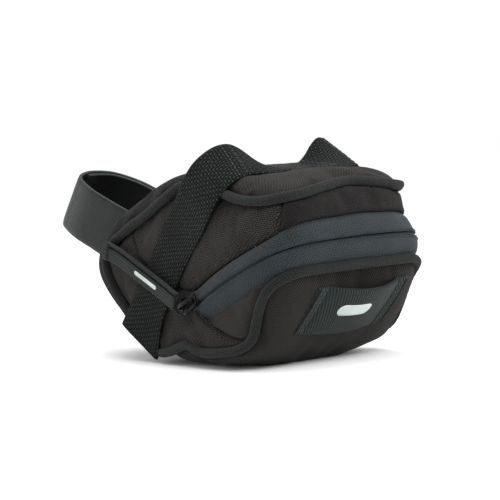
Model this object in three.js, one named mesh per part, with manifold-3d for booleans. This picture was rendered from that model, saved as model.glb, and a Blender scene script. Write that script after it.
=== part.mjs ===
// Saddle bag for a bicycle, in millimetres.
// +Y points forward to the seatpost, +X to the rider's right, +Z up.
// The bag stands on its flat base at z = 0. The group is shifted so that the
// origin is the middle of the base: the points below are measured from the rear.
import * as THREE from 'three';
import Module from 'manifold-3d';
import { mergeVertices } from 'three/addons/utils/BufferGeometryUtils.js';

const wasm = await Module();
wasm.setup();

const vec = (x, y, z) => new THREE.Vector3(x, y, z);
const mirrorX = (p) => vec(-p.x, p.y, p.z);
const lerp = THREE.MathUtils.lerp;

// ---------------------------------------------------------------- driving dimensions
const CORE = vec(0, 82, 46); // the body bulges out from this point
const ROUNDNESS = 8; // higher gives flatter faces and tighter corners
const FABRIC = 1.6; // padded polyester
const BOARD = 1.4; // plastic stiffener sheet
const BOARD_GAP = 1.9; // between a panel and its board
const SEAM_GAP = 0.5; // from a seam line to each panel's edge
const PIPING_R = 2.1;
const PIPING_PROUD = 0.9; // piping centre outside the fabric's face
const PIPING_GAP = 2.5; // from the piping's centre line to a panel's edge
const CLEARANCE = 0.35; // kept between touching pieces
const WEBBING = 25; // rail strap and light loop
const WEBBING_T = 1.6;
const POST_STRAP_T = 2;
const LIGHT_LOOP_X = 27.5; // half the length of the light loop
const LIGHT_LOOP_BOW = 6.6; // how far its middle stands off
const TAPE_T = 1;
const COIL_R = 1.1;
const PULL_WIDTH = 8;
const BASE_MIDDLE = 72; // from the rear to the middle of the base
const MOUTH_FOLD = vec(0, 40, 0); // where the rear panel folds down from the base

// The body's faces: direction in the side view in degrees above forward, sideways
// lean, and distance from CORE.
const MIDDLE_FACES = [
  { angle: 94.7, lean: 0.05, distance: 47 },
  { angle: 94.7, lean: -0.05, distance: 47 },
  { angle: 67.8, lean: 0, distance: 43.4 },
  { angle: 28.9, lean: 0, distance: 77.5 },
  { angle: -58.2, lean: 0, distance: 53.6 },
  { angle: -90, lean: 0, distance: 49.5 },
  { angle: -141.2, lean: 0, distance: 64.5 },
  { angle: 168, lean: 0, distance: 83 },
];
const SIDE_FACES = [
  { normal: vec(1, 0, 0.1), distance: 49 },
  { normal: vec(0.99, 0.14, 0.03), distance: 40 },
];

// Seam lines on the left side, from the middle of the rear round to the front.
const TOP_EDGE = [
  vec(0, 12, 80), vec(-16, 11, 78), vec(-29, 10, 76), vec(-38, 13, 75), vec(-41, 22, 74),
  vec(-42, 33, 75), vec(-41, 46, 78), vec(-38, 62, 81), vec(-36, 79, 81), vec(-36, 94, 75),
  vec(-35, 110, 68), vec(-33, 125, 62), vec(-31, 138, 56), vec(-30, 147, 50), vec(-31, 147, 43),
  vec(-32, 140, 33), vec(-33, 128, 22), vec(-33, 116, 12), vec(-31, 108, 5),
];
const TOP_CORNER = 3;
const TOP_SPLIT = 8;
const NOSE_SEAM_TOP = 11;
const ZIP_UPPER = [
  vec(0, 6, 66), vec(-22, 6, 65), vec(-33, 7, 64), vec(-41, 12, 61), vec(-44, 27, 54.5),
  vec(-43, 42, 49), vec(-42, 58, 42), vec(-41, 74, 34.5), vec(-39, 92, 38), vec(-36, 107, 44),
  vec(-35, 117, 51), vec(-33, 125, 62),
];
const ZIP_CORNER = 3;
const ZIP_END = 7;
const ZIP_LOWER = [
  vec(0, 7, 46.4), vec(-23, 7, 46.4), vec(-36, 9, 45.6), vec(-42.5, 14, 43.2), vec(-44, 26, 38.5),
  vec(-44, 40, 32), vec(-43, 54, 26), vec(-42, 67, 21),
];
const LOWER_EDGE = [
  vec(0, 8, 44), vec(-20, 7, 44), vec(-34, 8, 43.5), vec(-41, 12, 41), vec(-44, 18, 36),
  vec(-44, 23, 30), vec(-44, 26, 23), vec(-43, 31, 15), vec(-43, 39, 10.5), vec(-43, 54, 9),
  vec(-41, 76, 9), vec(-38, 93, 8), vec(-34, 104, 7),
];
const LOWER_CORNER = 3;
const GUSSET_FOOT = 7; // the gusset's lower corner, and the end of the mouth's fold
const GUSSET_SEAM = [vec(-43, 31, 15), vec(-44, 41, 15), vec(-44, 54, 18.5), vec(-42, 67, 21)];

// ---------------------------------------------------------------- the body's surface
function unit(angle, lean) {
  const a = THREE.MathUtils.degToRad(angle);
  return vec(lean, Math.cos(a), Math.sin(a)).normalize();
}

const FACES = MIDDLE_FACES.map((f) => ({ n: unit(f.angle, f.lean), d: f.distance }));
for (const side of [1, -1]) {
  for (const f of SIDE_FACES) {
    const n = vec(side * f.normal.x, f.normal.y, f.normal.z).normalize();
    FACES.push({ n, d: f.distance });
  }
}

// Moves a point along its ray from CORE to the fabric's face, plus proud outwards.
function onBody(point, proud = 0) {
  const ray = point.clone().sub(CORE).normalize();
  let sum = 0;
  for (const face of FACES) {
    sum += Math.max(0, ray.dot(face.n) / face.d) ** ROUNDNESS;
  }
  const placed = CORE.clone().addScaledVector(ray, sum ** (-1 / ROUNDNESS) + proud);
  placed.z = Math.max(placed.z, -Math.min(proud, 0));
  return placed;
}

// Outward direction of the fabric's face near a point.
function faceNormal(point) {
  const step = 1.5;
  const ray = point.clone().sub(CORE).normalize();
  const a = vec(0, 0, 1).cross(ray).normalize();
  const b = ray.clone().cross(a);
  const along = (axis, s) => onBody(point.clone().addScaledVector(axis, s * step));
  const da = along(a, 1).sub(along(a, -1));
  const db = along(b, 1).sub(along(b, -1));
  return da.cross(db).normalize();
}

// ---------------------------------------------------------------- curves and patches
// The stretch of a smooth line between two of its points, as a function of 0 to 1.
function stretch(points, from = 0, to = points.length - 1) {
  const curve = new THREE.CatmullRomCurve3(points, false, 'catmullrom', 0.5);
  const last = points.length - 1;
  return (t) => curve.getPoint(lerp(from, to, t) / last);
}
const reversed = (line) => (t) => line(1 - t);
const mirrored = (line) => (t) => mirrorX(line(t));
// From the left end of a half line through the middle to the right end.
const acrossMiddle = (half) => (t) => (t < 0.5 ? half(1 - 2 * t) : mirrorX(half(2 * t - 1)));
const straight = (a, b) => (t) => a.clone().lerp(b, t);

// A four-sided patch: u runs along bottom and top, v from bottom to top.
function patch(bottom, top, start, end) {
  const corner = [bottom(0), bottom(1), top(0), top(1)];
  return (u, v) => {
    const p = bottom(u).multiplyScalar(1 - v).addScaledVector(top(u), v);
    p.addScaledVector(start(v), 1 - u).addScaledVector(end(v), u);
    p.addScaledVector(corner[0], -(1 - u) * (1 - v)).addScaledVector(corner[1], -u * (1 - v));
    return p.addScaledVector(corner[2], -(1 - u) * v).addScaledVector(corner[3], -u * v);
  };
}

// Trims a patch by a distance in millimetres at each of its edges.
function trimmed(surface, trim) {
  return (u, v) => {
    const long = onBody(surface(0, v)).distanceTo(onBody(surface(1, v)));
    const wide = onBody(surface(u, 0)).distanceTo(onBody(surface(u, 1)));
    const uu = lerp(trim.start / long, 1 - trim.end / long, u);
    const vv = lerp(trim.bottom / wide, 1 - trim.top / wide, v);
    return surface(uu, vv);
  };
}

// ---------------------------------------------------------------- solids
function solidFrom(points, triangles) {
  const geometry = new THREE.BufferGeometry();
  const numbers = points.flatMap((p) => p.toArray());
  geometry.setAttribute('position', new THREE.Float32BufferAttribute(numbers, 3));
  geometry.setIndex(triangles.flat());
  geometry.computeVertexNormals();
  return geometry;
}

// A closed sheet between an outer and an inner grid of points, rows by columns.
function sheetSolid(outer, inner) {
  const rows = outer.length;
  const columns = outer[0].length;
  const points = [...outer.flat(), ...inner.flat()];
  const back = rows * columns;
  const at = (r, c) => r * columns + c;
  const triangles = [];
  const quad = (a, b, c, d) => triangles.push([a, b, c], [a, c, d]);
  for (let r = 0; r + 1 < rows; r += 1) {
    for (let c = 0; c + 1 < columns; c += 1) {
      const q = [at(r, c), at(r, c + 1), at(r + 1, c + 1), at(r + 1, c)];
      quad(...q);
      quad(...q.map((i) => i + back).reverse());
    }
  }
  const rim = [];
  for (let c = 0; c + 1 < columns; c += 1) rim.push(at(0, c));
  for (let r = 0; r + 1 < rows; r += 1) rim.push(at(r, columns - 1));
  for (let c = columns - 1; c > 0; c -= 1) rim.push(at(rows - 1, c));
  for (let r = rows - 1; r > 0; r -= 1) rim.push(at(r, 0));
  rim.forEach((a, i) => {
    const b = rim[(i + 1) % rim.length];
    quad(b, a, a + back, b + back);
  });
  return outwards(solidFrom(points, triangles));
}

// Merges the shared corners of an extrusion.
function welded(geometry) {
  geometry.deleteAttribute('normal');
  geometry.deleteAttribute('uv');
  const merged = mergeVertices(geometry, 1e-4);
  merged.computeVertexNormals();
  return merged;
}

function toManifold(geometry) {
  return new wasm.Manifold(new wasm.Mesh({
    numProp: 3,
    vertProperties: new Float32Array(geometry.attributes.position.array),
    triVerts: new Uint32Array(geometry.index.array),
  }));
}

// Cuts room for the piping out of a panel and keeps the panel's largest piece.
function cutClear(geometry, cutters) {
  let solid = toManifold(geometry);
  for (const cutter of cutters) solid = solid.subtract(toManifold(cutter));
  const pieces = solid.decompose().sort((a, b) => b.volume() - a.volume());
  const mesh = pieces[0].getMesh();
  const cut = new THREE.BufferGeometry();
  cut.setAttribute('position', new THREE.Float32BufferAttribute(mesh.vertProperties, 3));
  cut.setIndex([...mesh.triVerts]);
  cut.computeVertexNormals();
  return cut;
}

// Turns a closed solid's faces outwards if its volume comes out negative.
function outwards(geometry) {
  const p = geometry.attributes.position;
  const index = geometry.index.array;
  const corner = (i) => vec(p.getX(i), p.getY(i), p.getZ(i));
  let volume = 0;
  for (let i = 0; i < index.length; i += 3) {
    volume += corner(index[i]).dot(corner(index[i + 1]).cross(corner(index[i + 2])));
  }
  if (volume < 0) {
    for (let i = 0; i < index.length; i += 3) {
      [index[i], index[i + 1]] = [index[i + 1], index[i]];
    }
    geometry.computeVertexNormals();
  }
  return geometry;
}

function grid(rows, columns, at) {
  return Array.from({ length: rows + 1 }, (_, r) =>
    Array.from({ length: columns + 1 }, (_, c) => at(c / columns, r / rows)));
}

// A fabric panel or board that follows the body, its outer face at proud.
function bodySheet(surface, rows, columns, proud, thickness) {
  const level = typeof proud === 'function' ? proud : () => proud;
  const outer = grid(rows, columns, (u, v) => onBody(surface(u, v), level(u, v)));
  const inner = grid(rows, columns, (u, v) => onBody(surface(u, v), level(u, v) - thickness));
  return sheetSolid(outer, inner);
}

// A stiffener board behind a panel.
function boardSheet(surface, columns) {
  return bodySheet(surface, 5, columns, -FABRIC - BOARD_GAP, BOARD);
}

// A flat strap: left and right edge lines, thickened outwards from the inner face.
function strap(leftEdge, rightEdge, steps, thickness, across = 2) {
  const inner = grid(steps, across, (u, v) => leftEdge(v).lerp(rightEdge(v), u));
  const normals = inner.map((row, r) => {
    const next = inner[Math.min(r + 1, steps)];
    const before = inner[Math.max(r - 1, 0)];
    const along = next[0].clone().add(next[across]).sub(before[0]).sub(before[across]);
    return row[across].clone().sub(row[0]).cross(along).normalize();
  });
  const lifted = (row, r) => row.map((p) => p.clone().addScaledVector(normals[r], thickness));
  const outer = inner.map(lifted);
  return sheetSolid(outer, inner);
}

// Piping or coil: a round bead along a line on the body.
function bead(points, radius, proud, steps, arcSteps = 4) {
  const line = stretch(points);
  const route = Array.from({ length: steps + 1 }, (_, i) => onBody(line(i / steps), proud));
  const circle = new THREE.Shape();
  circle.absarc(0, 0, radius, 0, 2 * Math.PI);
  const extrudePath = new THREE.CatmullRomCurve3(route);
  const options = { extrudePath, steps, curveSegments: arcSteps, bevelEnabled: false };
  return welded(new THREE.ExtrudeGeometry(circle, options));
}

// ---------------------------------------------------------------- materials
const finish = (color, roughness, metalness = 0) =>
  new THREE.MeshStandardMaterial({ color, roughness, metalness });
const MATERIAL = {
  polyester: finish(0x4a4541, 0.9),
  lowerPolyester: finish(0x3f3b38, 0.9),
  piping: finish(0x3a3836, 0.85),
  tape: finish(0x3d464c, 0.7),
  coil: finish(0x1c1f21, 0.5),
  webbing: finish(0x2d322f, 0.85),
  postStrap: finish(0x39423f, 0.6),
  hook: finish(0x161818, 0.9),
  board: finish(0x1b1b1c, 0.5),
  slider: finish(0x101112, 0.25, 0.6),
  reflective: finish(0xc9cdc9, 0.4),
  thread: finish(0x222423, 0.8),
};

// ---------------------------------------------------------------- assembly
const bag = new THREE.Group();
bag.name = 'saddle_bag';
bag.position.y = -BASE_MIDDLE;

function add(name, geometry, material) {
  const mesh = new THREE.Mesh(geometry, material);
  mesh.name = name;
  bag.add(mesh);
  return mesh;
}

// Adds a piece on the left and its mirror image on the right.
function addPair(name, geometry, material) {
  add(`left_${name}`, geometry, material);
  const mirroredGeometry = geometry.clone().scale(-1, 1, 1);
  const index = mirroredGeometry.index.array;
  for (let i = 0; i < index.length; i += 3) {
    [index[i], index[i + 1]] = [index[i + 1], index[i]];
  }
  mirroredGeometry.computeVertexNormals();
  add(`right_${name}`, mirroredGeometry, material);
}

// ---------------------------------------------------------------- panels
const PIPED = { start: PIPING_GAP, end: PIPING_GAP, bottom: PIPING_GAP, top: PIPING_GAP };

function crossPanel(edge, from, to, rearLine, frontLine) {
  const left = stretch(edge, from, to);
  return patch(left, mirrored(left), rearLine, frontLine);
}

function topPanel() {
  const rear = acrossMiddle(stretch(TOP_EDGE, 0, TOP_CORNER));
  const split = TOP_EDGE[TOP_SPLIT];
  const surface = crossPanel(TOP_EDGE, TOP_CORNER, TOP_SPLIT, rear, straight(split, mirrorX(split)));
  const trim = { ...PIPED, end: SEAM_GAP };
  add('top_panel', bodySheet(trimmed(surface, trim), 8, 8, 0, FABRIC), MATERIAL.polyester);
  const inset = { start: 9, end: 5, bottom: 9, top: 9 };
  add('top_stiffener', boardSheet(trimmed(surface, inset), 5), MATERIAL.board);
}

function frontPanel() {
  const split = TOP_EDGE[TOP_SPLIT];
  const foot = TOP_EDGE[TOP_EDGE.length - 1];
  const surface = crossPanel(
    TOP_EDGE, TOP_SPLIT, TOP_EDGE.length - 1,
    straight(split, mirrorX(split)), straight(foot, mirrorX(foot)),
  );
  const trim = { ...PIPED, start: SEAM_GAP, end: SEAM_GAP };
  add('front_panel', bodySheet(trimmed(surface, trim), 5, 14, 0, FABRIC), MATERIAL.polyester);
}

function rearPanels() {
  const rear = acrossMiddle(stretch(LOWER_EDGE, 0, LOWER_CORNER));
  const foldEnd = LOWER_EDGE[GUSSET_FOOT];
  const foldSide = vec(-24, 37, 2);
  const foldLine = stretch([foldEnd, foldSide, MOUTH_FOLD, mirrorX(foldSide), mirrorX(foldEnd)]);
  const rearSurface = crossPanel(LOWER_EDGE, LOWER_CORNER, GUSSET_FOOT, rear, foldLine);
  const rearTrim = { ...PIPED, end: SEAM_GAP };
  add('rear_panel', bodySheet(trimmed(rearSurface, rearTrim), 8, 7, 0, FABRIC), MATERIAL.lowerPolyester);
  const boardTrim = { start: 9, end: 12, bottom: 9, top: 9 };
  add('rear_stiffener', boardSheet(trimmed(rearSurface, boardTrim), 4), MATERIAL.board);

  const foot = LOWER_EDGE[LOWER_EDGE.length - 1];
  const bottomSurface = crossPanel(
    LOWER_EDGE, GUSSET_FOOT, LOWER_EDGE.length - 1, foldLine, straight(foot, mirrorX(foot)),
  );
  const bottomTrim = { ...PIPED, start: SEAM_GAP, end: SEAM_GAP };
  add('bottom_panel', bodySheet(trimmed(bottomSurface, bottomTrim), 8, 7, 0, FABRIC), MATERIAL.lowerPolyester);
  const baseTrim = { start: 3, end: 4, bottom: 12, top: 12 };
  add('bottom_stiffener', boardSheet(trimmed(bottomSurface, baseTrim), 4), MATERIAL.board);
}

function rearUpperPanel() {
  const surface = patch(
    acrossMiddle(stretch(ZIP_UPPER, 0, ZIP_CORNER)),
    acrossMiddle(stretch(TOP_EDGE, 0, TOP_CORNER)),
    straight(ZIP_UPPER[ZIP_CORNER], TOP_EDGE[TOP_CORNER]),
    straight(mirrorX(ZIP_UPPER[ZIP_CORNER]), mirrorX(TOP_EDGE[TOP_CORNER])),
  );
  const trim = { start: SEAM_GAP, end: SEAM_GAP, bottom: SEAM_GAP, top: PIPING_GAP };
  add('rear_upper_panel', bodySheet(trimmed(surface, trim), 3, 12, 0, FABRIC), MATERIAL.polyester);
}

function sidePanels() {
  const noseSeam = ZIP_UPPER.length - 1;
  const upper = patch(
    stretch(ZIP_UPPER, ZIP_CORNER, noseSeam - 1),
    stretch(TOP_EDGE, TOP_CORNER, NOSE_SEAM_TOP),
    straight(ZIP_UPPER[ZIP_CORNER], TOP_EDGE[TOP_CORNER]),
    stretch(ZIP_UPPER, noseSeam - 1, noseSeam),
  );
  const upperTrim = { start: SEAM_GAP, end: 1, bottom: 0.8, top: PIPING_GAP };
  addPair('side_panel', bodySheet(trimmed(upper, upperTrim), 5, 12, 0, FABRIC), MATERIAL.polyester);

  const zipEnd = [ZIP_LOWER[ZIP_LOWER.length - 1], ...ZIP_UPPER.slice(ZIP_END)];
  const lower = patch(
    stretch(LOWER_EDGE, GUSSET_FOOT, LOWER_EDGE.length - 1),
    stretch(zipEnd),
    stretch(GUSSET_SEAM),
    reversed(stretch(TOP_EDGE, NOSE_SEAM_TOP, TOP_EDGE.length - 1)),
  );
  const lowerTrim = { start: 0.9, end: PIPING_GAP, bottom: PIPING_GAP, top: 1.2 };
  addPair('lower_side_panel', bodySheet(trimmed(lower, lowerTrim), 5, 9, 0, FABRIC), MATERIAL.polyester);

  const gusset = patch(
    stretch(LOWER_EDGE, LOWER_CORNER + 1, GUSSET_FOOT),
    stretch(ZIP_LOWER, LOWER_CORNER + 1, ZIP_LOWER.length - 1),
    straight(LOWER_EDGE[LOWER_CORNER + 1], ZIP_LOWER[LOWER_CORNER + 1]),
    stretch(GUSSET_SEAM),
  );
  const gussetTrim = { start: SEAM_GAP, end: 1.6, bottom: PIPING_GAP, top: SEAM_GAP };
  addPair('gusset', bodySheet(trimmed(gusset, gussetTrim), 3, 6, 0, FABRIC), MATERIAL.polyester);
}

// ---------------------------------------------------------------- piping
function wholeLine(half) {
  return [...half.slice(1).reverse(), ...half.map(mirrorX)];
}

function pipings() {
  add('top_piping', bead(wholeLine(TOP_EDGE), PIPING_R, PIPING_PROUD, 60), MATERIAL.piping);
  const rear = LOWER_EDGE.slice(0, GUSSET_FOOT + 1);
  add('lower_piping_rear', bead(wholeLine(rear), PIPING_R, PIPING_PROUD, 28), MATERIAL.piping);
  const front = stretch(LOWER_EDGE, GUSSET_FOOT, LOWER_EDGE.length - 1);
  const frontPoints = [0.03, 0.2, 0.4, 0.6, 0.8, 0.95].map(front);
  addPair('lower_piping', bead(frontPoints, PIPING_R, PIPING_PROUD, 12), MATERIAL.piping);
}

// ---------------------------------------------------------------- zipper
const BAND_BULGE = 2.2;
const SLIDER_AT = vec(-42, 70, 30.5);
const SLIDER_REAR = vec(-43, 56, 36.5);

function zipBand() {
  const lower = acrossMiddle(stretch(ZIP_LOWER));
  const upper = acrossMiddle(stretch(ZIP_UPPER, 0, ZIP_END));
  const ends = [ZIP_LOWER[ZIP_LOWER.length - 1], ZIP_UPPER[ZIP_END]];
  return patch(lower, upper, straight(...ends), straight(...ends.map(mirrorX)));
}

function zipper() {
  const band = zipBand();
  const bulge = (share) => BAND_BULGE * Math.sin(Math.PI * share);
  const edge = { start: SEAM_GAP, end: SEAM_GAP, bottom: SEAM_GAP, top: 0.2 };
  const lowerHalf = trimmed((u, v) => band(u, v / 2), edge);
  const upperHalf = trimmed((u, v) => band(u, (1 + v) / 2), { ...edge, bottom: 0.2, top: SEAM_GAP });
  const lowerTape = bodySheet(lowerHalf, 2, 36, (u, v) => bulge(v / 2), TAPE_T);
  const upperTape = bodySheet(upperHalf, 2, 36, (u, v) => bulge((1 + v) / 2), TAPE_T);
  add('zipper_tape_lower', lowerTape, MATERIAL.tape);
  add('zipper_tape_upper', upperTape, MATERIAL.tape);

  const coilProud = BAND_BULGE - TAPE_T - COIL_R - 1.3;
  const coilLine = (share) => grid(0, 24, (u) => band(lerp(0.02, 0.98, u), share))[0];
  add('zipper_coil_lower', bead(coilLine(0.42), COIL_R, coilProud, 30, 3), MATERIAL.coil);
  add('zipper_coil_upper', bead(coilLine(0.58), COIL_R, coilProud, 30, 3), MATERIAL.coil);

  const stop = (u, v) => band(lerp(0.012, 0.022, u), lerp(0.36, 0.64, v));
  addPair('zip_stop', bodySheet(stop, 1, 1, coilProud - COIL_R - 0.6, 1.2), MATERIAL.slider);
}

// A frame on the bag's left side: forward is away from the slider's travel.
function sliderFrame() {
  const origin = onBody(SLIDER_AT, BAND_BULGE + 1.4);
  const out = faceNormal(SLIDER_AT);
  const forward = origin.clone().sub(onBody(SLIDER_REAR, BAND_BULGE + 1.4));
  forward.addScaledVector(out, -forward.dot(out)).normalize();
  return new THREE.Matrix4().makeBasis(forward, out.clone().cross(forward), out).setPosition(origin);
}

function slider() {
  const frame = sliderFrame();
  const plate = new THREE.Shape();
  plate.moveTo(-5.5, -2.6);
  plate.lineTo(2, -4.2);
  plate.absarc(3, 0, 4.2, -Math.PI / 2.4, Math.PI / 2.4);
  plate.lineTo(2, 4.2);
  plate.lineTo(-5.5, 2.6);
  const plateSolid = new THREE.ExtrudeGeometry(plate, { depth: 1.6, bevelEnabled: false, curveSegments: 8 });
  add('zip_slider', plateSolid.applyMatrix4(frame), MATERIAL.slider);

  const arch = new THREE.Shape();
  arch.moveTo(-4.5, 0);
  arch.lineTo(-4.5, 1.6);
  arch.quadraticCurveTo(-4.5, 3.2, -2.8, 3.2);
  arch.lineTo(3.3, 3.2);
  arch.quadraticCurveTo(5, 3.2, 5, 1.6);
  arch.lineTo(5, 0);
  arch.lineTo(3.9, 0);
  arch.lineTo(3.9, 2.1);
  arch.lineTo(-3.4, 2.1);
  arch.lineTo(-3.4, 0);
  const bridge = new THREE.ExtrudeGeometry(arch, { depth: 1.8, bevelEnabled: false, curveSegments: 4 });
  bridge.rotateX(Math.PI / 2).translate(0, 0.9, 1.9);
  add('slider_bridge', bridge.applyMatrix4(frame), MATERIAL.slider);
}

// The folded webbing tab lies forward from the slider, over the rail strap.
const PULL_ROUTE = [
  { at: vec(-41.5, 76.5, 32), proud: 6.6 },
  { at: vec(-39, 90, 36.5), proud: 4.6 },
  { at: vec(-36, 108, 43), proud: 4.2 },
  { at: vec(-34, 124, 48.5), proud: 4.2 },
  { at: vec(-32, 138, 52), proud: 4.8 },
];

function pullTab() {
  const centre = PULL_ROUTE.map((stop) => onBody(stop.at, stop.proud));
  const sideways = centre.map((p, i) => {
    const next = centre[Math.min(i + 1, centre.length - 1)];
    const before = centre[Math.max(i - 1, 0)];
    return faceNormal(PULL_ROUTE[i].at).cross(next.clone().sub(before)).normalize();
  });
  const beside = (i, offset) => centre[i].clone().addScaledVector(sideways[i], offset);
  const edgeLine = (offset) => stretch(centre.map((_, i) => beside(i, offset)));
  const half = PULL_WIDTH / 2;
  add('zip_pull_tab', strap(edgeLine(half), edgeLine(-half), 12, 2.2, 1), MATERIAL.webbing);
  const bar = (offset) => {
    const raised = (i) => beside(i, offset).addScaledVector(faceNormal(PULL_ROUTE[i].at), 2.6);
    const line = stretch(centre.map((_, i) => raised(i)));
    return (t) => line(lerp(0.4, 0.78, t));
  };
  add('zip_pull_reflector', strap(bar(1.4), bar(-1.4), 4, 0.4, 1), MATERIAL.reflective);
}

// ---------------------------------------------------------------- rail strap
// The left side's webbing from the sewn middle, over the rail and down the side.
const RAIL_ROUTE = [
  { at: vec(-14, 43, 88.9), lean: 6, yaw: 4 },
  { at: vec(-19.5, 44.5, 90.3), lean: 16, yaw: 8 },
  { at: vec(-24.5, 46.5, 92), lean: 27, yaw: 11 },
  { at: vec(-30, 49.5, 93), lean: 35, yaw: 12 },
  { at: vec(-36, 52.5, 91.6), lean: 38, yaw: 10 },
  { at: vec(-42.2, 56.5, 85.8), lean: 38, yaw: 5 },
  { at: vec(-44.3, 61.5, 77.6), lean: 39, yaw: 3 },
  { at: vec(-42.8, 68, 69), lean: 39, yaw: 5 },
  { at: vec(-41, 76, 61), lean: 38, yaw: 6 },
  { at: vec(-40.1, 85.5, 51), lean: 37.5, yaw: 7 },
  { at: vec(-39.5, 94.5, 40), lean: 37, yaw: 7 },
  { at: vec(-39.3, 103.5, 28), lean: 37, yaw: 7 },
  { at: vec(-38.4, 112, 17.5), lean: 41, yaw: -4 },
  { at: vec(-36.8, 119.5, 9.5), lean: 44, yaw: -14 },
];
const STRAP_FOLD = 11; // where the loose end starts
const STRAP_ROOT = 0.4; // where the sewn middle ends

function railStraps() {
  const halfWidth = (stop) => {
    const lean = THREE.MathUtils.degToRad(stop.lean);
    const yaw = THREE.MathUtils.degToRad(stop.yaw);
    return vec(Math.sin(yaw), Math.cos(lean), Math.sin(lean)).setLength(WEBBING / 2);
  };
  const rear = RAIL_ROUTE.map((stop) => stop.at.clone().sub(halfWidth(stop)));
  const front = RAIL_ROUTE.map((stop) => stop.at.clone().add(halfWidth(stop)));
  const last = RAIL_ROUTE.length - 1;
  const over = (line) => stretch(line, STRAP_ROOT, STRAP_FOLD);
  const loop = strap(over(rear), over(front), 24, WEBBING_T, 1);
  addPair('rail_strap', loop, MATERIAL.webbing);
  const end = (line) => stretch(line, STRAP_FOLD + 0.06, last);
  addPair('rail_strap_end', strap(end(rear), end(front), 5, WEBBING_T, 1), MATERIAL.webbing);

  const root = [rear, front].map((line) => stretch(line)(STRAP_ROOT / last).add(vec(0.5, 0, 0)));
  const across = (p) => (t) => vec(lerp(p.x, -p.x, t), p.y, p.z - 0.8 * Math.sin(Math.PI * t));
  add('rail_strap_middle', strap(across(root[0]), across(root[1]), 8, WEBBING_T, 1), MATERIAL.webbing);
}

// ---------------------------------------------------------------- seatpost strap
// The loop's upper and lower edges, from its left root to its middle in front.
const POST_TOP = [
  vec(-15, 145, 68.5), vec(-15.8, 158, 73), vec(-15, 174, 78.5), vec(-9.5, 187, 82),
  vec(0, 191.5, 83),
];
const POST_BOTTOM = [
  vec(-15, 168.5, 48.5), vec(-15.8, 178, 53), vec(-15, 191, 58), vec(-9.5, 203.5, 61.5),
  vec(0, 208, 62.5),
];
const POST_FLAP = { from: 0.53, to: 0.86 }; // share of the loop that the flap covers
const POST_FLAP_OUT = 2.8; // how far the flap lies outside the loop

function postLoop(half, from, to) {
  const points = [...half, ...half.slice(0, -1).reverse().map(mirrorX)];
  const line = stretch(points);
  return (t) => line(lerp(from, to, t));
}

function postStrap() {
  const loop = strap(postLoop(POST_BOTTOM, 0, 1), postLoop(POST_TOP, 0, 1), 24, POST_STRAP_T, 1);
  add('seatpost_strap', loop, MATERIAL.postStrap);
  const outside = (p, i) => vec(p.x < 0 ? -POST_FLAP_OUT : 0, i < 2 ? 0 : POST_FLAP_OUT, 0);
  const grown = (half) => half.map((p, i) => p.clone().add(outside(p, i)));
  const { from, to } = POST_FLAP;
  const edges = [POST_BOTTOM, POST_TOP].map((half) => postLoop(grown(half), from, to));
  const flap = strap(edges[0], edges[1], 9, POST_STRAP_T, 1);
  add('seatpost_strap_flap', flap, MATERIAL.postStrap);
}

// ---------------------------------------------------------------- light loop
const LOOP_TOP = { y: 10.5, z: 36.5 };
const LOOP_BOTTOM = { y: 24, z: 16 };
const LOOP_SEWN = 6; // length sewn down at each end

function loopFace(x, share) {
  return vec(x, lerp(LOOP_BOTTOM.y, LOOP_TOP.y, share), lerp(LOOP_BOTTOM.z, LOOP_TOP.z, share));
}

function loopStandOff(x) {
  const free = LIGHT_LOOP_X - LOOP_SEWN;
  const along = Math.min(Math.abs(x) / free, 1);
  return 0.5 + LIGHT_LOOP_BOW * (1 - along ** 2);
}

function lightLoop() {
  const across = (u) => lerp(-LIGHT_LOOP_X, LIGHT_LOOP_X, u);
  const surface = (u, v) => loopFace(across(u), v);
  const webbing = bodySheet(surface, 3, 16, (u) => loopStandOff(across(u)) + WEBBING_T, WEBBING_T);
  add('light_loop', webbing, MATERIAL.webbing);
  const tack = (u, v) => loopFace(lerp(-26, -23, u), lerp(0.05, 0.95, v));
  addPair('light_loop_bar_tack', bodySheet(tack, 3, 1, 0.5 + WEBBING_T + 1, 0.6), MATERIAL.thread);
  const mark = (u, v) => loopFace(lerp(-9, 9, u), lerp(0.36, 0.64, v));
  const markProud = (u) => loopStandOff(lerp(-9, 9, u)) + WEBBING_T + 0.7;
  add('light_loop_reflector', bodySheet(mark, 1, 4, markProud, 0.4), MATERIAL.reflective);
}

// Leaves room for the piping in every panel that it borders.
function clearPiping() {
  const room = PIPING_R + CLEARANCE;
  const cutters = [
    bead(wholeLine(TOP_EDGE), room, PIPING_PROUD, 60),
    bead(wholeLine(LOWER_EDGE), room, PIPING_PROUD, 48),
  ];
  for (const mesh of bag.children.filter((piece) => /panel|gusset/.test(piece.name))) {
    mesh.geometry = cutClear(mesh.geometry, cutters);
  }
}

topPanel();
frontPanel();
rearPanels();
rearUpperPanel();
sidePanels();
clearPiping();
pipings();
zipper();
slider();
pullTab();
railStraps();
postStrap();
lightLoop();

export default bag;
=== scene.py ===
import math

import bmesh
import bpy
import numpy as np
from mathutils import Matrix, Vector


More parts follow.
